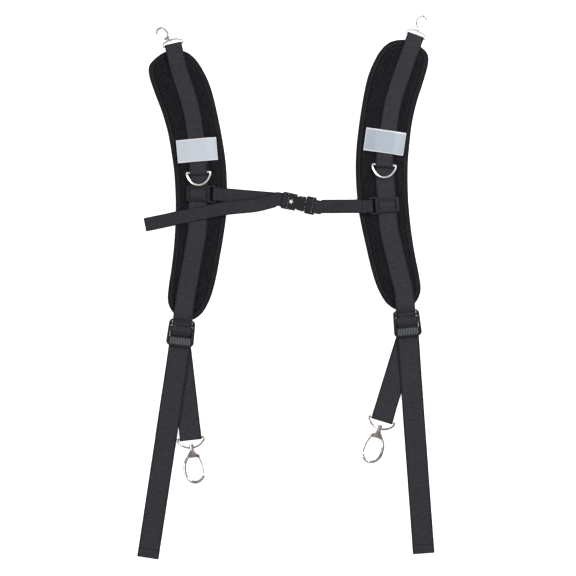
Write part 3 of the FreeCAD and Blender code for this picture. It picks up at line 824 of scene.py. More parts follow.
def outline(side: Side, inset: float, count: int = 300) -> list[Vector]:
    """Smooth closed outline of a pad.

    Args:
        side: which half of the harness.
        inset: how far the outline is moved inwards.
        count: how many evenly spaced points it has.
    Returns:
        The points, without the first one repeated.
    """
    base = [pad_point(side, s, r) for s, r in PAD_OUTLINE]
    n, dense = len(base), []
    for i in range(n):
        p0, p1, p2, p3 = (base[(i + k - 1) % n] for k in range(4))
        for k in range(10):
            t = k / 10
            square, cube = 2 * p0 - 5 * p1 + 4 * p2 - p3, 3 * p1 - p0 - 3 * p2 + p3
            dense.append(0.5 * ((2 * p1) + (p2 - p0) * t + square * t * t + cube * t ** 3))
    runs = [0.0]
    for i in range(len(dense)):
        runs.append(runs[-1] + (dense[(i + 1) % len(dense)] - dense[i]).length)
    even, j = [], 0
    for k in range(count):
        at = runs[-1] * k / count
        while runs[j + 1] < at:
            j += 1
        share = (at - runs[j]) / max(runs[j + 1] - runs[j], 1e-6)
        even.append(dense[j].lerp(dense[(j + 1) % len(dense)], share))
    out = []
    for k in range(count):
        t = (even[(k + 1) % count] - even[k - 1]).normalized()
        out.append(even[k] + Vector((-t.y, t.x, 0)) * (inset * side.hand))
    return out


class ShoulderPad:
    """Foam-filled pad: puffed cover, bound edge, mesh lining and its seams.

    Args:
        side: which half of the harness.
        finishes: the materials.
    """

    def __init__(self, side: Side, finishes: Finishes) -> None:
        """Keeps the side and the finishes, and works out what the pieces share."""
        self.side, self.finishes = side, finishes
        self.body = side.name + "_half"
        self.edge = outline(side, 0.0)
        self.tree = kdtree.KDTree(len(self.edge) * 4)
        k = 0
        for i, p in enumerate(self.edge):
            for f in (0, 0.25, 0.5, 0.75):
                self.tree.insert(p.lerp(self.edge[(i + 1) % len(self.edge)], f), k)
                k += 1
        self.tree.balance()
        self.webs = self._webbing_line()

    def _webbing_line(self) -> list[Vector]:
        """Points along the middle of the webbing that is sewn on the pad."""
        pts = []
        for path, r in ((self.side.shoulder, 300.0), (self.side.lower, 100.0)):
            rows = [(p[0], p[1], r if i == 1 else 0.0) for i, p in enumerate(path)]
            pts += [Vector((x, y, 0)) for x, y in rounded(rows, 4.0, 3.0)]
        for x, y, turn in (self.side.top, self.side.lock):
            pts += [Vector((*polar(x, y, turn, -d), 0)) for d in range(0, 46, 4)]
        return pts

    def build(self) -> None:
        """Makes every piece of the pad and puts it on its body."""
        self.cover()
        self.binding()
        self.lining()
        self.seams()

    def _plate(self, name: str, inset: float, z0: float, z1: float) -> bpy.types.Mesh:
        """A flat plate of the pad's outline.

        Args:
            name: name of the mesh.
            inset: how far its edge lies inside the pad's.
            z0, z1: heights of its underside and its top.
        Returns:
            The mesh.
        """
        ring = outline(self.side, inset, 240)
        bm = bmesh.new()
        low, high = ([bm.verts.new(placed(p + Vector((0, 0, z)))) for p in ring] for z in (z0, z1))
        bm.faces.new(low)
        bm.faces.new(list(reversed(high)))
        for i in range(len(ring)):
            j = (i + 1) % len(ring)
            bm.faces.new((low[i], low[j], high[j], high[i]))
        bmesh.ops.recalc_face_normals(bm, faces=bm.faces[:])
        mesh = bpy.data.meshes.new(name)
        bm.to_mesh(mesh)
        bm.free()
        return mesh

    def _from_edge(self, co: Vector) -> float:
        """Distance in millimetres of a mesh point from the outline."""
        p = co / MM - SHIFT
        return self.tree.find(Vector((p.x, p.y, 0)))[2]

    def cover(self) -> None:
        """Puffed top cover, swollen by cloth simulation and pinned where it is sewn."""
        name = "pad_cover_" + self.side.name
        piece = link(name, self._plate(name, 7.0, 1.3, 9.6), self.finishes.pad)
        remesh = piece.modifiers.new("even", "REMESH")
        remesh.mode, remesh.voxel_size = "VOXEL", 4.2 * MM
        self._apply(piece)
        rest = [v.co.copy() for v in piece.data.vertices]
        web = kdtree.KDTree(len(self.webs))
        for i, p in enumerate(self.webs):
            web.insert(p, i)
        web.balance()

        def to_web(co: Vector) -> float:
            """Distance in millimetres of a mesh point from the webbing's middle."""
            p = co / MM - SHIFT
            return web.find(Vector((p.x, p.y, 0)))[2]

        self._swell(piece, to_web)
        cap = 2.6 * MM
        for v, start in zip(piece.data.vertices, rest):
            move = v.co - start
            if move.length > cap:
                v.co = start + move * (cap / move.length)
        subdivide = piece.modifiers.new("fine", "SUBSURF")
        subdivide.levels = subdivide.render_levels = 1
        self._apply(piece)
        for v in piece.data.vertices:
            if v.co.z < 4.5 * MM:
                v.co.z = max(v.co.z, 1.25 * MM)
                continue
            # The cover rises from the binding to a dome, with a groove along each seam.
            d, w = self._from_edge(v.co), to_web(v.co)
            dome = 5.6 + 5.9 * (1 - math.exp(-max(d - 7.0, 0.0) / 4.6))
            groove = sum(deep * math.exp(-((at - seam) / wide) ** 2) for at, seam, deep, wide
                         in ((d, 14.0, 1.5, 1.5), (d, 20.5, 0.8, 1.8), (w, 19.6, 1.9, 1.9)))
            ripple = 0.35 * noise.noise(Vector((v.co.x, v.co.y, 0)) * 38)
            ripple += 0.22 * noise.noise(Vector((v.co.x, v.co.y, 7.0)) * 95)
            puff = (v.co.z / MM - 9.6) * 0.35
            z = dome - groove + ripple + max(min(puff, 0.7), -0.5)
            # Under the webbing it is pressed flat.
            under = 1 / (1 + math.exp((w - 18.5) / 0.9))
            z = z * (1 - under) + min(z, 10.9) * under
            v.co.z = min(z, 11.75) * MM
        smooth(piece.data, 80)
        keep(piece, self.body, "pad_fabric", "shoulder_pad_" + self.side.name)
        LOG.info("cover %s: %d faces", name, len(piece.data.polygons))

    def _swell(self, piece: bpy.types.Object, to_web: Callable[[Vector], float]) -> None:
        """Inflates the cover with Cloth, held at its rim and under the webbing."""
        group = piece.vertex_groups.new(name="sewn")
        for v in piece.data.vertices:
            d, w = self._from_edge(v.co), to_web(v.co)
            if v.co.z < 3.5 * MM or d < 11.0 or w < 15.0:
                group.add([v.index], 1.0, "REPLACE")
        cloth, frames = piece.modifiers.new("cloth", "CLOTH"), 20
        cloth.settings.quality = 5
        cloth.settings.use_pressure = True
        cloth.settings.uniform_pressure_force = 4.0
        cloth.settings.vertex_group_mass = "sewn"
        cloth.settings.effector_weights.gravity = 0.0
        cloth.settings.tension_stiffness = cloth.settings.compression_stiffness = 12.0
        cloth.settings.bending_stiffness = 0.4
        cloth.point_cache.frame_start, cloth.point_cache.frame_end = 1, frames
        for frame in range(1, frames + 1):
            bpy.context.scene.frame_set(frame)
        self._apply(piece)
        bpy.context.scene.frame_set(1)

    @staticmethod
    def _apply(piece: bpy.types.Object) -> None:
        """Bakes the modifiers of a piece into its mesh."""
        graph = bpy.context.evaluated_depsgraph_get()
        mesh = bpy.data.meshes.new_from_object(piece.evaluated_get(graph))
        old = piece.data
        piece.modifiers.clear()
        piece.data = mesh
        bpy.data.meshes.remove(old)

    def binding(self) -> None:
        """Grosgrain tape folded over the pad's edge."""
        name = "edge_binding_" + self.side.name
        outer = [(8.6, 6.1), (7.2, 6.75), (5.0, 6.7), (2.6, 6.35), (0.9, 5.5), (0.1, 4.2), (0.0, 3.2),
                 (0.1, 2.1), (0.8, 0.9), (2.4, 0.12), (5.0, 0.02), (8.6, 0.02)]
        inner = [(8.6, 0.8), (5.0, 0.85), (2.6, 1.1), (1.4, 2.2), (1.2, 3.2), (1.4, 4.2), (2.6, 5.3),
                 (5.0, 5.75), (8.6, 5.4)]
        section = outer + inner
        count = 420
        base = outline(self.side, 0.0, count)
        inwards = []
        for k in range(count):
            t = (base[(k + 1) % count] - base[k - 1]).normalized()
            inwards.append(Vector((-t.y, t.x, 0)) * self.side.hand)
        runs, verts, n = [0.0], [], len(section)
        for k in range(count):
            runs.append(runs[-1] + (base[(k + 1) % count] - base[k]).length)
            for d, z in section:
                pull = 0.18 * noise.noise(Vector((runs[k] * 0.09, d * 0.1, 1.0))) if z > 3 else 0.0
                verts.append(placed(base[k] + inwards[k] * d + Vector((0, 0, max(z + pull, 0.0)))))
        faces = []
        for i in range(count):
            here, there = i * n, (i + 1) % count * n
            faces += [(here + j, there + j, there + (j + 1) % n, here + (j + 1) % n) for j in range(n)]
        mesh = bpy.data.meshes.new(name)
        mesh.from_pydata(verts, [], faces)
        reach = [0.0]
        for a, b in zip(section, section[1:] + section[:1]):
            reach.append(reach[-1] + math.dist(a, b))
        layer = mesh.uv_layers.new(name="UVMap")
        for index, poly in enumerate(mesh.polygons):
            i, j = divmod(index, n)
            for loop, (di, dj) in zip(poly.loop_indices, ((0, 0), (1, 0), (1, 1), (0, 1))):
                layer.data[loop].uv = (reach[j + dj] * MM, runs[i + di] * MM)
        bm = bmesh.new()
        bm.from_mesh(mesh)
        bmesh.ops.recalc_face_normals(bm, faces=bm.faces[:])
        bm.to_mesh(mesh)
        bm.free()
        smooth(mesh, 60)
        piece = link(name, mesh, self.finishes.binding)
        keep(piece, self.body, "binding_tape", "pad_binding_" + self.side.name)

    def lining(self) -> None:
        """Mesh panel on the underside."""
        name = "lining_panel_" + self.side.name
        mesh = self._plate(name, 8.4, 0.02, 1.15)
        bm = bmesh.new()
        bm.from_mesh(mesh)
        rim = [e for e in bm.edges if e.calc_face_angle(0) > 1.0]
        bmesh.ops.bevel(bm, geom=rim, offset=0.4 * MM, segments=2, profile=0.5, affect="EDGES", material=-1)
        bm.to_mesh(mesh)
        bm.free()
        smooth(mesh, 50)
        piece = link(name, mesh, self.finishes.mesh)
        keep(piece, self.body, "mesh_lining", "pad_lining_" + self.side.name)

    def seams(self) -> None:
        """Stitch rows on the binding and along the cover."""
        rows = []
        for inset, z in ((6.6, 6.95), (14.0, 8.75), (6.6, 0.12)):
            ring = [p + Vector((0, 0, z)) for p in outline(self.side, inset, 320)]
            rows.append(ring + [ring[0]])
        for name, lines, radius in (("pad_stitching_", rows[:2], 0.3), ("lining_stitching_", rows[2:], 0.11)):
            sewn = stitches(name + self.side.name, lines, self.finishes.thread, 3.4, 2.4, radius)
            keep(sewn, self.body, "binding_tape")


# ------------------------------------------------------------------ webbing on the pads
def end_loop(bar: float, back: float) -> list[tuple[float, float, float]]:
    """Side view of webbing folded round a bar at the end of a pad.

    Args:
        bar: radius of the bar.
        back: how far from the bar the webbing starts to double.
    Returns:
        (distance along, height, corner radius) of each vertex.
    """
    r, z, top = bar + SLACK + BELT_T / 2, LOOP_Z, PAD_TOP + LAY + BELT_T / 2
    lift = top + BELT_T + SLACK
    return [(-back, top, 0), (-back + 6, top, 3), (-back + 11.5, lift, 3), (-17, lift, 4),
            (-4, z + r, 4), (r, z + r, r), (r, z - r, r), (-0.6, z - r, 2), (-5.0, 7.8, 2),
            (-16.5, top + 0.15, 3), (-back + 14.5, top, 0)]


class PadWebbing:
    """Webbing, reflective patch and ring tab sewn on one pad."""

    def __init__(self, side: Side, finishes: Finishes) -> None:
        """Keeps the side and the finishes, and works out what the pieces share."""
        self.side, self.finishes = side, finishes
        self.body = side.name + "_half"
        self.top = PAD_TOP + LAY + BELT_T / 2
        # Height of a seam on single and on doubled webbing.
        self.seam = self.top + BELT_T / 2 + 0.06
        self.doubled = self.top + BELT_T * 1.5 + 0.35

    def build(self) -> None:
        """Makes every piece and puts it on the pad's body."""
        self.shoulder()
        self.lower()
        self.patch()
        self.tab()

    def _edge_rows(self, path: list, width: float) -> list[list[Vector]]:
        """Seams along both edges of a webbing."""
        route = Route().plan(path, self.seam)
        return [[p + a * v for p, a in zip(route.points[1:-2], route.across[1:-2])]
                for v in (-width / 2 + 2.2, width / 2 - 2.2)]

    def shoulder(self) -> None:
        """Webbing from the shoulder hook down to the patch."""
        s = self.side
        path = [(*s.shoulder[2], 0), (*s.shoulder[1], 300.0), (*polar(*s.top, -46), 0)]
        route = Route().plan(path, self.top).view(*s.top, end_loop(1.3, 44))
        piece = tape("shoulder_web_" + s.name, route, SHOULDER_W, BELT_T, self.finishes.webbing)
        keep(piece, self.body, "webbing", "shoulder_webbing_" + s.name)
        rows = box_stitch(*s.top, -31, -19, SHOULDER_W / 2 - 2.5, self.doubled)
        rows += self._edge_rows(path, SHOULDER_W)
        sewn = stitches("shoulder_web_stitching_" + s.name, rows, self.finishes.thread, 3.2, 2.3, 0.28)
        keep(sewn, self.body, "webbing")

    def lower(self) -> None:
        """Webbing from the patch down to the ladder lock."""
        s, half = self.side, LOWER_W / 2 - 3
        path = [(*s.lower[0], 0), (*s.lower[1], 100.0), (*polar(*s.lock, -43), 0)]
        route = Route().plan(path, self.top).view(*s.lock, end_loop(1.5, 41))
        piece = tape("lower_web_" + s.name, route, LOWER_W, BELT_T, self.finishes.webbing)
        keep(piece, self.body, "webbing", "lower_webbing_" + s.name)
        rows = box_stitch(*s.lock, -29, -15.5, half, self.doubled, cross=True)
        rows += box_stitch(*polar(*s.lock, -44), s.lock[2], -16, 0, half, self.seam, cross=True)
        sewn = stitches("lower_web_stitching_" + s.name, rows, self.finishes.thread, 3.0, 2.2, 0.3)
        keep(sewn, self.body, "webbing")

    def patch(self) -> None:
        """Reflective patch draped over the webbing, with its sewn border."""
        s = self.side
        x, y, turn = s.patch
        low, high = PAD_TOP + LAY + 0.4, self.top + BELT_T / 2 + 0.5
        shape = [(-35, low + 0.1, 0), (-31, low + 0.15, 20), (-17.5, high - 0.1, 25),
                 (17.5, high - 0.1, 25), (31, low + 0.15, 20), (35, low + 0.1, 0)]
        piece = tape("patch_" + s.name, Route().view(x, y, turn, shape, 2.0), PATCH_W, PATCH_T,
                     self.finishes.patches[s.name])
        self._mark_border(piece)
        keep(piece, self.body, "reflective_tape", "reflective_patch_" + s.name)
        along, side = axes(turn)
        rows = []
        for v in (-18.2, 18.2):
            rows.append([Vector((x, y, 0)) + along * (u * 0.955) + side * v + Vector((0, 0, z + 0.5))
                         for u, z in rounded(shape, 2.0)])
        for u in (-33.3, 33.3):
            rows.append([Vector((x, y, low + 0.62)) + along * u + side * v for v in (-18, -9, 0, 9, 18)])
        sewn = stitches("patch_stitching_" + s.name, rows, self.finishes.thread_pale, 2.8, 2.0, 0.28)
        keep(sewn, self.body, "webbing")

    @staticmethod
    def _mark_border(piece: bpy.types.Object) -> None:
        """Sets the "edge" attribute to 1 on a patch's border and to 0 inside it."""
        near, section = piece.data.attributes["edge"], TAPE_SECTION
        rings = len(piece.data.vertices) // section
        for i in range(len(piece.data.vertices)):
            from_end = min(i // section, rings - 1 - i // section)
            near.data[i].value = 1.0 if from_end < 1 or near.data[i].value > 0.05 else 0.0

    def tab(self) -> None:
        """Short folded tab that holds the D-ring."""
        s = self.side
        x, y, turn, back = s.tab
        t, r = CHEST_T, 2.0 + SLACK + CHEST_T / 2
        z, back = PAD_TOP + LAY + BELT_T + LAY + CHEST_T / 2, back - 0.5
        path = [(-back, z, 0), (r, z, r), (r, z + 2 * r, r), (-3, z + 2 * r, 3),
                (-9, z + t + 0.05, 3), (-back, z + t + 0.05, 0)]
        route = Route().view(x, y, turn, path, 2.0)
        piece = tape("ring_tab_" + s.name, route, SHOULDER_W, t, self.finishes.webbing)
        keep(piece, self.body, "webbing", "d_ring_tab_" + s.name)
        rows = box_stitch(x, y, turn, -back + 2.0, -back + 4.5, 12.5, z + t * 1.5 + 0.1)
        sewn = stitches("ring_tab_stitching_" + s.name, rows, self.finishes.thread, 2.6, 1.9, 0.28)
        keep(sewn, self.body, "webbing")


# ------------------------------------------------------------------ belt straps
class BeltStrap:
    """Hook strap and free tail that run through one ladder lock."""

    def __init__(self, side: Side, finishes: Finishes) -> None:
        """Keeps the side and the finishes, and works out what the pieces share."""
        self.side, self.finishes = side, finishes
        self.lock, self.end, self.tail = (part + side.name for part in ("adjuster_", "strap_end_", "tail_end_"))
        # Radius and height of the straps' turn round the lock's second bar.
        self.wrap = (LOCK_BAR + SLACK + BELT_T / 2, LOOP_Z + LOCK_RISE)

    def _out(self, dist: float, goal: Point) -> tuple[float, float, float, float]:
        """Start of a strap's straight part, DIST from the lock's bar, with its length and turn."""
        x, y = polar(*self.side.lock, dist)
        return x, y, math.hypot(goal[0] - x, goal[1] - y), math.degrees(math.atan2(goal[1] - y, goal[0] - x))

    @staticmethod
    def _spot(x: float, y: float, turn: float, u: float, z: float) -> tuple[float, float, float]:
        """The point U along a strap at height Z, in the frame."""
        return tuple(placed(Vector((*polar(x, y, turn, u), z))))

    def _end(self, web: str, suffix: str, body: str, node: str, route: Route, rows: list) -> None:
        """Makes a strap's folded end and its seam.

        Args:
            web: the strap's name.
            suffix: what the end adds to that name.
            body: what both pieces ride on.
            node: the CAD node that the end replaces.
            route: the end's middle line.
            rows: the seam's lines.
        """
        name = self.side.name
        end = tape(web + suffix + name, route, BELT_W, BELT_T, self.finishes.webbing)
        keep(end, body, "webbing", node + name)
        sewn = stitches(web + "_stitching_" + name, rows, self.finishes.thread, 2.8, 2.0, 0.3)
        keep(sewn, body, "webbing")

    def build(self) -> None:
        """Makes both straps with their folded ends."""
        self.hook_side()
        self.free_side()

    def hook_side(self) -> None:
        """Strap from the lock's bar to the belt hook, and its sewn loop."""
        s, (r, z) = self.side, self.wrap
        x, y, length, turn = self._out(36, s.fold)
        wrap = [(LOCK_GAP - r, z, 0), (LOCK_GAP - r, z - r, r), (12.5, z - r, 8), (24, 5.1, 10), (34, 4.85, 0)]
        straight = [(6, 4.1, 0), (18, 2.05, 40), (40, ON_TABLE, 40), (length - 34, ON_TABLE, 0)]
        route = Route().view(*s.lock, wrap, 2.5).view(x, y, turn, straight)
        piece = tape("hook_web_" + s.name, route, BELT_W, BELT_T, self.finishes.webbing, 0.12, 2.0 * s.hand)
        self._spot(x, y, turn, 4, 3)
        self._spot(x, y, turn, length - 40, 1)
        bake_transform(piece)
        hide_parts("hook_strap_" + s.name)
        e, ez = 1.8 + SLACK + BELT_T / 2, 4.2
        loop = [(length - 34, 0.95, 0), (length - 29, 0.95, 3), (length - 24, 2.6, 3), (length - 18, 2.6, 4),
                (length - 7, ez + e, 4), (length + e, ez + e, e), (length + e, ez - e, e),
                (length - 6, ez - e, 3), (length - 12, 0.9, 3), (length - 23, 0.9, 0)]
        rows = box_stitch(x, y, turn, length - 23.5, length - 18.5, BELT_W / 2 - 2.5, 3.48)
        self._end("hook_web", "_loop_", self.end, "hook_strap_loop_", Route().view(x, y, turn, loop, 2.5), rows)

    def free_side(self) -> None:
        """Long free tail with its hemmed end."""
        s, (r, z) = self.side, self.wrap
        x, y, length, turn = self._out(37, s.tail)
        lift, until = s.lift
        wrap = [(LOCK_GAP - r, z, 0), (LOCK_GAP - r, z + r, r), (11.8, z + r, 4), (21.5, 7.7, 5), (34, 7.13, 0)]
        straight = [(6, 6.6, 0), (30, 4.9, 30), (62, lift, 40), (until, lift, 10),
                    (until + 14, ON_TABLE, 10), (length - 18, ON_TABLE, 0)]
        route = Route().view(*s.lock, wrap, 2.5).view(x, y, turn, straight)
        piece = tape("tail_web_" + s.name, route, BELT_W, BELT_T, self.finishes.webbing, 0.12, 5.0 * s.hand)
        self._spot(x, y, turn, 8, 6)
        self._spot(x, y, turn, length - 24, 1)
        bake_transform(piece)
        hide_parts("strap_tail_" + s.name)
        hem = [(length - 18, 0.95, 0), (length, 0.95, 0.85), (length, 2.65, 0.85), (length - 14, 2.65, 0)]
        rows = box_stitch(x, y, turn, length - 12.5, length - 9.5, BELT_W / 2 - 2, 3.52)
        self._end("tail_web", "_hem_", self.tail, "tail_hem_", Route().view(x, y, turn, hem, 2.5), rows)


# ------------------------------------------------------------------ chest strap
class ChestStrap:
    """Both halves of the chest strap, its tail and the tucks in the sliders."""

    tail_path = ((-13.2, 158.6), (-50.0, 148.8), (-103.3, 143.6), (-245.0, 114.8))
    tail_bends = (0, 120, 250, 0)

    def __init__(self, finishes: Finishes) -> None:
        """Keeps the finishes, and works out the straps' turn round the buckle's bars."""
        self.finishes = finishes
        self.r = BUCKLE_BAR + SLACK + CHEST_T / 2
        self.low, self.high = BUCKLE_BAR_Z - self.r, BUCKLE_BAR_Z + self.r

    def build(self) -> None:
        """Makes every piece of the chest strap."""
        self.left()
        self.right()
        self.tail()
        for side, body in ((LEFT, "chest_left"), (RIGHT, "slider_right")):
            self.tuck(side, body)

    def _run(self, start: Point, side: Side, begin: float) -> Route:
        """Strap from near a buckle bar up to and round a slider's side bar.

        Args:
            start: the point that the strap's distances count from.
            side: the half that has the slider.
            begin: distance from that point at which the strap starts.
        Returns:
            Its middle line.
        """
        low, bar = PAD_TOP + LAY + CHEST_T / 2 + 0.05, SIDE_BAR_AT
        r = SIDE_BAR + 0.25 + CHEST_T / 2
        bottom, top, upper = SIDE_BAR_Z - r, SIDE_BAR_Z + r, low + CHEST_T + 0.15
        turn = side.slider_turn()
        sx, sy = polar(*side.slider, turn, bar)
        end = math.hypot(start[0] - sx, start[1] - sy)
        angle = math.degrees(math.atan2(sy - start[1], sx - start[0]))
        rise = [(begin, 2.75, 0), (begin + 12, 2.75, 20), (end - 16, low, 20), (end - 14, low, 0)]
        loop = [(-(bar + 11), low, 0), (-(bar + 7), low, 4), (-(bar + 3), bottom, 2), (-(bar - r), bottom, r),
                (-(bar - r), top, r), (-(bar + 2), top, 2), (-(bar + 9), upper, 3), (-(bar + 14), upper, 0)]
        return Route().view(*start, angle, rise).view(*side.slider, turn + 180, loop, 2.0)

    def _sew(self, name: str, body: str, rows: list) -> None:
        """Makes one seam of the chest strap."""
        keep(stitches(name, rows, self.finishes.thread, 2.4, 1.8, 0.26), body, "webbing")

    def _sew_at_slider(self, name: str, side: Side, body: str) -> None:
        """Makes the seam next to a slider's side bar."""
        z = PAD_TOP + LAY + CHEST_T * 2 + 0.35
        rows = box_stitch(*side.slider, side.slider_turn(), 38.5, 41.0, CHEST_W / 2 - 2, z)
        self._sew(name, body, rows)

    def left(self) -> None:
        """Strap from the left slider to the buckle's adjusting bar."""
        turn = BUCKLE[2]
        route = self._run(polar(*BUCKLE, -3.0), LEFT, 4)
        back = Route(list(reversed(route.points)), [-a for a in reversed(route.across)])
        wrap = [(-12, self.low, 0), (self.r, self.low, self.r), (self.r, self.high, self.r), (-9, self.high, 0)]
        back.view(*polar(*BUCKLE, SOCKET_BAR_AT), turn, wrap, 2.0)
        piece = tape("chest_web_left", back, CHEST_W, CHEST_T, self.finishes.chest)
        keep(piece, "chest_left", "webbing", "chest_strap_left")
        self._sew_at_slider("chest_web_stitching_left", LEFT, "chest_left")

    def right(self) -> None:
        """Strap from the buckle's plug to the right slider."""
        turn, out = BUCKLE[2], polar(*BUCKLE, PLUG_BAR_AT)
        folded = self.low + CHEST_T + 0.1
        wrap = [(14, folded, 0), (9, folded, 3), (2, self.high, 3), (-self.r, self.high, self.r),
                (-self.r, self.low, self.r), (10, self.low, 0)]
        route = Route().view(*out, turn, wrap, 2.0)
        run = self._run(out, RIGHT, 13)
        route.points += run.points
        route.across += run.across
        piece = tape("chest_web_right", route, CHEST_W, CHEST_T, self.finishes.chest)
        keep(piece, "chest_right", "webbing", "chest_strap_right")
        rows = box_stitch(*out, turn, 8.5, 12.5, CHEST_W / 2 - 2, self.low + CHEST_T * 1.5 + 0.2)
        self._sew("chest_web_stitching_plug", "chest_right", rows)
        self._sew_at_slider("chest_web_stitching_right", RIGHT, "chest_right")

    def tail(self) -> None:
        """Free end of the chest strap, lying over the left pad."""
        end, start = Vector(self.tail_path[3]), Vector(self.tail_path[0])
        reach, line = (start - end).length, (start - end).normalized()
        # Heights from the free end inwards: over the pad, over the other strap, down to the buckle.
        shape = rounded([(-20, 6.6, 0), (24, 8.4, 40), (56, 12.4, 30), (74, 13.7, 30), (113, 13.7, 20),
                         (124, 14.7, 30), (149, 14.3, 30), (reach - 12, self.high, 20),
                         (reach + 20, self.high, 0)], 3.0)
        first = [(9.1, self.high, 0), (16, self.high, 0)]
        route = Route().view(*polar(*BUCKLE, SOCKET_BAR_AT), BUCKLE[2] + 180, first, 2.0)
        flat = Route().plan([(*p, r) for p, r in zip(self.tail_path, self.tail_bends)], 0.0)
        for p, a in zip(flat.points[1:], flat.across[1:]):
            u = (Vector((p.x, p.y)) - end).dot(line)
            route.points.append(Vector((p.x, p.y, height_at(shape, u))))
            route.across.append(a)
        piece = tape("chest_web_tail", route, CHEST_W, CHEST_T, self.finishes.chest, seed=8.0)
        keep(piece, "chest_tail", "webbing", "chest_strap_tail")

        def on_top(u: float) -> float:
            """Height of the strap's upper face U past its free end."""
            return height_at(shape, -u) + CHEST_T / 2 + 0.08

        run = end - Vector(self.tail_path[2])
        angle = math.degrees(math.atan2(run.y, run.x))
        self._sew("chest_web_stitching_tail", "chest_tail",
                  box_stitch(*end, angle, -12, -9.5, CHEST_W / 2 - 2, on_top))

    def tuck(self, side: Side, body: str) -> None:
        """Bulge of the pad webbing inside a slider's frame."""
        thick = 1.2
        low = PAD_TOP + LAY + BELT_T + 0.15 + thick / 2
        path = [(-8.2, low, 0), (-5.6, low, 2), (-2.6, low + 1.5, 2), (2.6, low + 1.5, 2), (5.6, low, 2),
                (8.2, low, 0)]
        route = Route().view(*side.slider, side.slider_turn() + 90, path, 1.2)
        piece = tape("slider_web_tuck_" + side.name, route, SHOULDER_W, thick, self.finishes.webbing)
        keep(piece, body, "webbing", "slider_tuck_" + side.name)


# ------------------------------------------------------------------ hard parts
# Height of a ladder lock's lip above its bar, and its fall for each millimetre outwards.
LIP_TOP, LIP_SLOPE = 15.2, 0.075


class Hardware:
    """Finishes on the CAD's hard parts, and the grip ribs of the ladder locks."""

    def __init__(self, nodes: dict, finishes: Finishes) -> None:
        """Keeps the frame's pieces by node name, and the finishes."""
        self.nodes, self.finishes = nodes, finishes

    def build(self) -> None:
        """Gives each hard CAD node its material and adds the ribs."""
        for name, piece in self.nodes.items():
            material = self._pick(name)
            if material is None:
                continue
            for slot in piece.material_slots:
                slot.material = material
        for side in (LEFT, RIGHT):
            self.ribs(side)

    def _pick(self, name: str) -> bpy.types.Material | None:
        """The finish of a hard node, or None for a soft one."""
        if name.endswith("_pin"):
            return self.finishes.pin
        if "_hook_" in name:
            return self.finishes.hook_small if name.startswith("shoulder") else self.finishes.hook
        if name in ("d_ring_left", "d_ring_right"):
            return self.finishes.nickel
        if name.startswith(("buckle", "sternum_slider", "ladder_lock")):
            return self.finishes.plastic
        return None

    def ribs(self, side: Side) -> None:
        """Fine finger ribs moulded along a lock's lip."""
        verts, faces = [], []
        x, y, turn = side.lock
        along, across = axes(turn)
        count, pitch, half_width, sides = 13, 2.8, 0.85, 6
        # Each rib: distance from the bar and height, swelling from nothing at both ends.
        rings = ((23.2, 0.15), (24.2, 0.55), (27.0, 0.6), (31.0, 0.6), (34.4, 0.55), (35.4, 0.15))
        for k in range(count):
            v, base = -16.8 + pitch * k, len(verts)
            for u, r in rings:
                z = LIP_TOP - (u - 12) * LIP_SLOPE
                for q in range(sides + 1):
                    a = math.pi * q / sides
                    wide = v + math.cos(a) * half_width * min(1, r * 2.0)
                    rib = Vector((x, y, 0)) + along * u + across * wide
                    verts.append(placed(rib + Vector((0, 0, z - 0.12 + math.sin(a) * r))))
            for ring in range(base, base + (len(rings) - 1) * (sides + 1), sides + 1):
                for q in range(ring, ring + sides):
                    faces.append((q, q + 1, q + sides + 2, q + sides + 1))
        mesh = bpy.data.meshes.new("lock_ribs_" + side.name)
        mesh.from_pydata(verts, [], faces)
        smooth(mesh, 60)
        piece = link("lock_ribs_" + side.name, mesh, self.finishes.grip)
        keep(piece, "adjuster_" + side.name, "plastic")


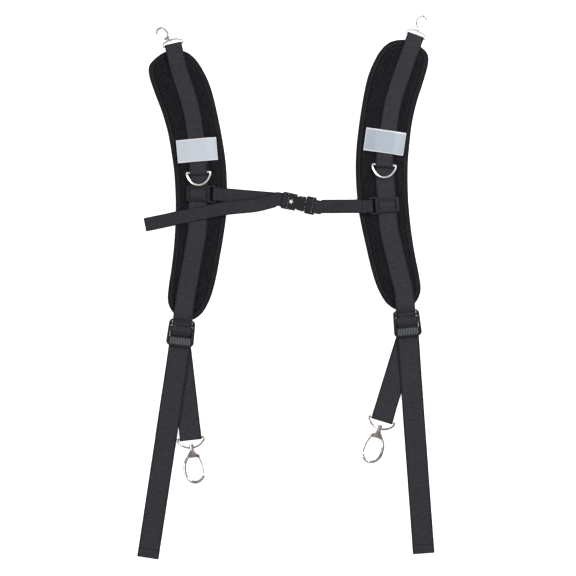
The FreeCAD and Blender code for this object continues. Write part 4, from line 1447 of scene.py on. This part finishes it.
# ------------------------------------------------------------------ studio
class Studio:
    """Pale floor, soft lights and the camera straight above."""

    lens, reach = 85.0, 2.385
    middle = (3.79, -2.55)
    table_half = 4.0

    def build(self) -> None:
        """Adds everything that isn't the harness."""
        self.floor()
        self.lights()
        self.camera()

    def floor(self) -> None:
        """Opal acrylic light table: it glows white, so the harness casts no shadow on it."""
        mesh = bpy.data.meshes.new("table")
        corners = ((-1, -1), (1, -1), (1, 1), (-1, 1))
        verts = [(i * self.table_half, j * self.table_half, -0.5 * MM) for i, j in corners]
        mesh.from_pydata(verts, [], [(0, 1, 2, 3)])
        g = Graph("opal_acrylic")
        spot = g.add("TexCoord", out="Object")
        grain = g.add("TexNoise", {"Vector": spot, "Scale": 300.0, "Detail": 2.0, "Roughness": 0.55})
        normal = g.add("Bump", {"Height": grain, "Distance": 0.02 * MM, "Strength": 0.2})
        material = g.finish(Base_Color=linear("#CFCFCF"), Roughness=0.9, Specular_IOR_Level=0.1,
                            Normal=normal, Emission_Strength=0.8, Emission_Color=linear("#FFFFFF"))
        link("table", mesh, material)

    def lights(self) -> None:
        """Large soft boxes and a world that darkens towards the horizon."""
        boxes = (("key", (1.1, 1.0, 1.7), 0.9, 50.0), ("fill", (-1.4, -0.7, 1.7), 1.2, 24.0))
        for name, at, size, power in boxes:
            lamp = bpy.data.lights.new(name, "AREA")
            lamp.shape, lamp.size, lamp.energy = "SQUARE", size, power
            spot = bpy.data.objects.new(name, lamp)
            spot.location = at
            spot.rotation_euler = (-Vector(at)).to_track_quat("-Z", "Y").to_euler()
            bpy.context.scene.collection.objects.link(spot)
        world = bpy.data.worlds.new("studio")
        bpy.context.scene.world = world
        world.use_nodes = True
        tree = world.node_tree
        coord = tree.nodes.new("ShaderNodeTexCoord")
        split = tree.nodes.new("ShaderNodeSeparateXYZ")
        ramp = tree.nodes.new("ShaderNodeValToRGB")
        tree.links.new(coord.outputs["Generated"], split.inputs[0])
        tree.links.new(split.outputs[2], ramp.inputs[0])
        low, level = ramp.color_ramp.elements
        low.position, low.color = 0.02, (0.08, 0.08, 0.085, 1)
        level.position, level.color = 0.5, (1.0, 1.0, 1.0, 1)
        ramp.color_ramp.elements.new(0.98).color = (0.55, 0.55, 0.56, 1)
        tree.links.new(ramp.outputs[0], tree.nodes["Background"].inputs[0])
        tree.nodes["Background"].inputs[1].default_value = 0.95

    def camera(self) -> None:
        """Camera looking straight down at the middle of the layout."""
        data = bpy.data.cameras.new("camera")
        data.lens, data.sensor_width = self.lens, 36.0
        camera = bpy.data.objects.new("camera", data)
        camera.location = (self.middle[0] * MM, self.middle[1] * MM, self.reach)
        bpy.context.scene.collection.objects.link(camera)
        bpy.context.scene.camera = camera
        bpy.context.scene.view_settings.view_transform = "Standard"


def main() -> None:
    """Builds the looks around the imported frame."""
    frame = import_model()
    finishes = Finishes()
    Hardware(frame["nodes"], finishes).build()
    for side in (LEFT, RIGHT):
        ShoulderPad(side, finishes).build()
        PadWebbing(side, finishes).build()
        BeltStrap(side, finishes).build()
        LOG.info("%s half done", side.name)
    ChestStrap(finishes).build()
    Studio().build()


if __name__ == "__main__":
    main()
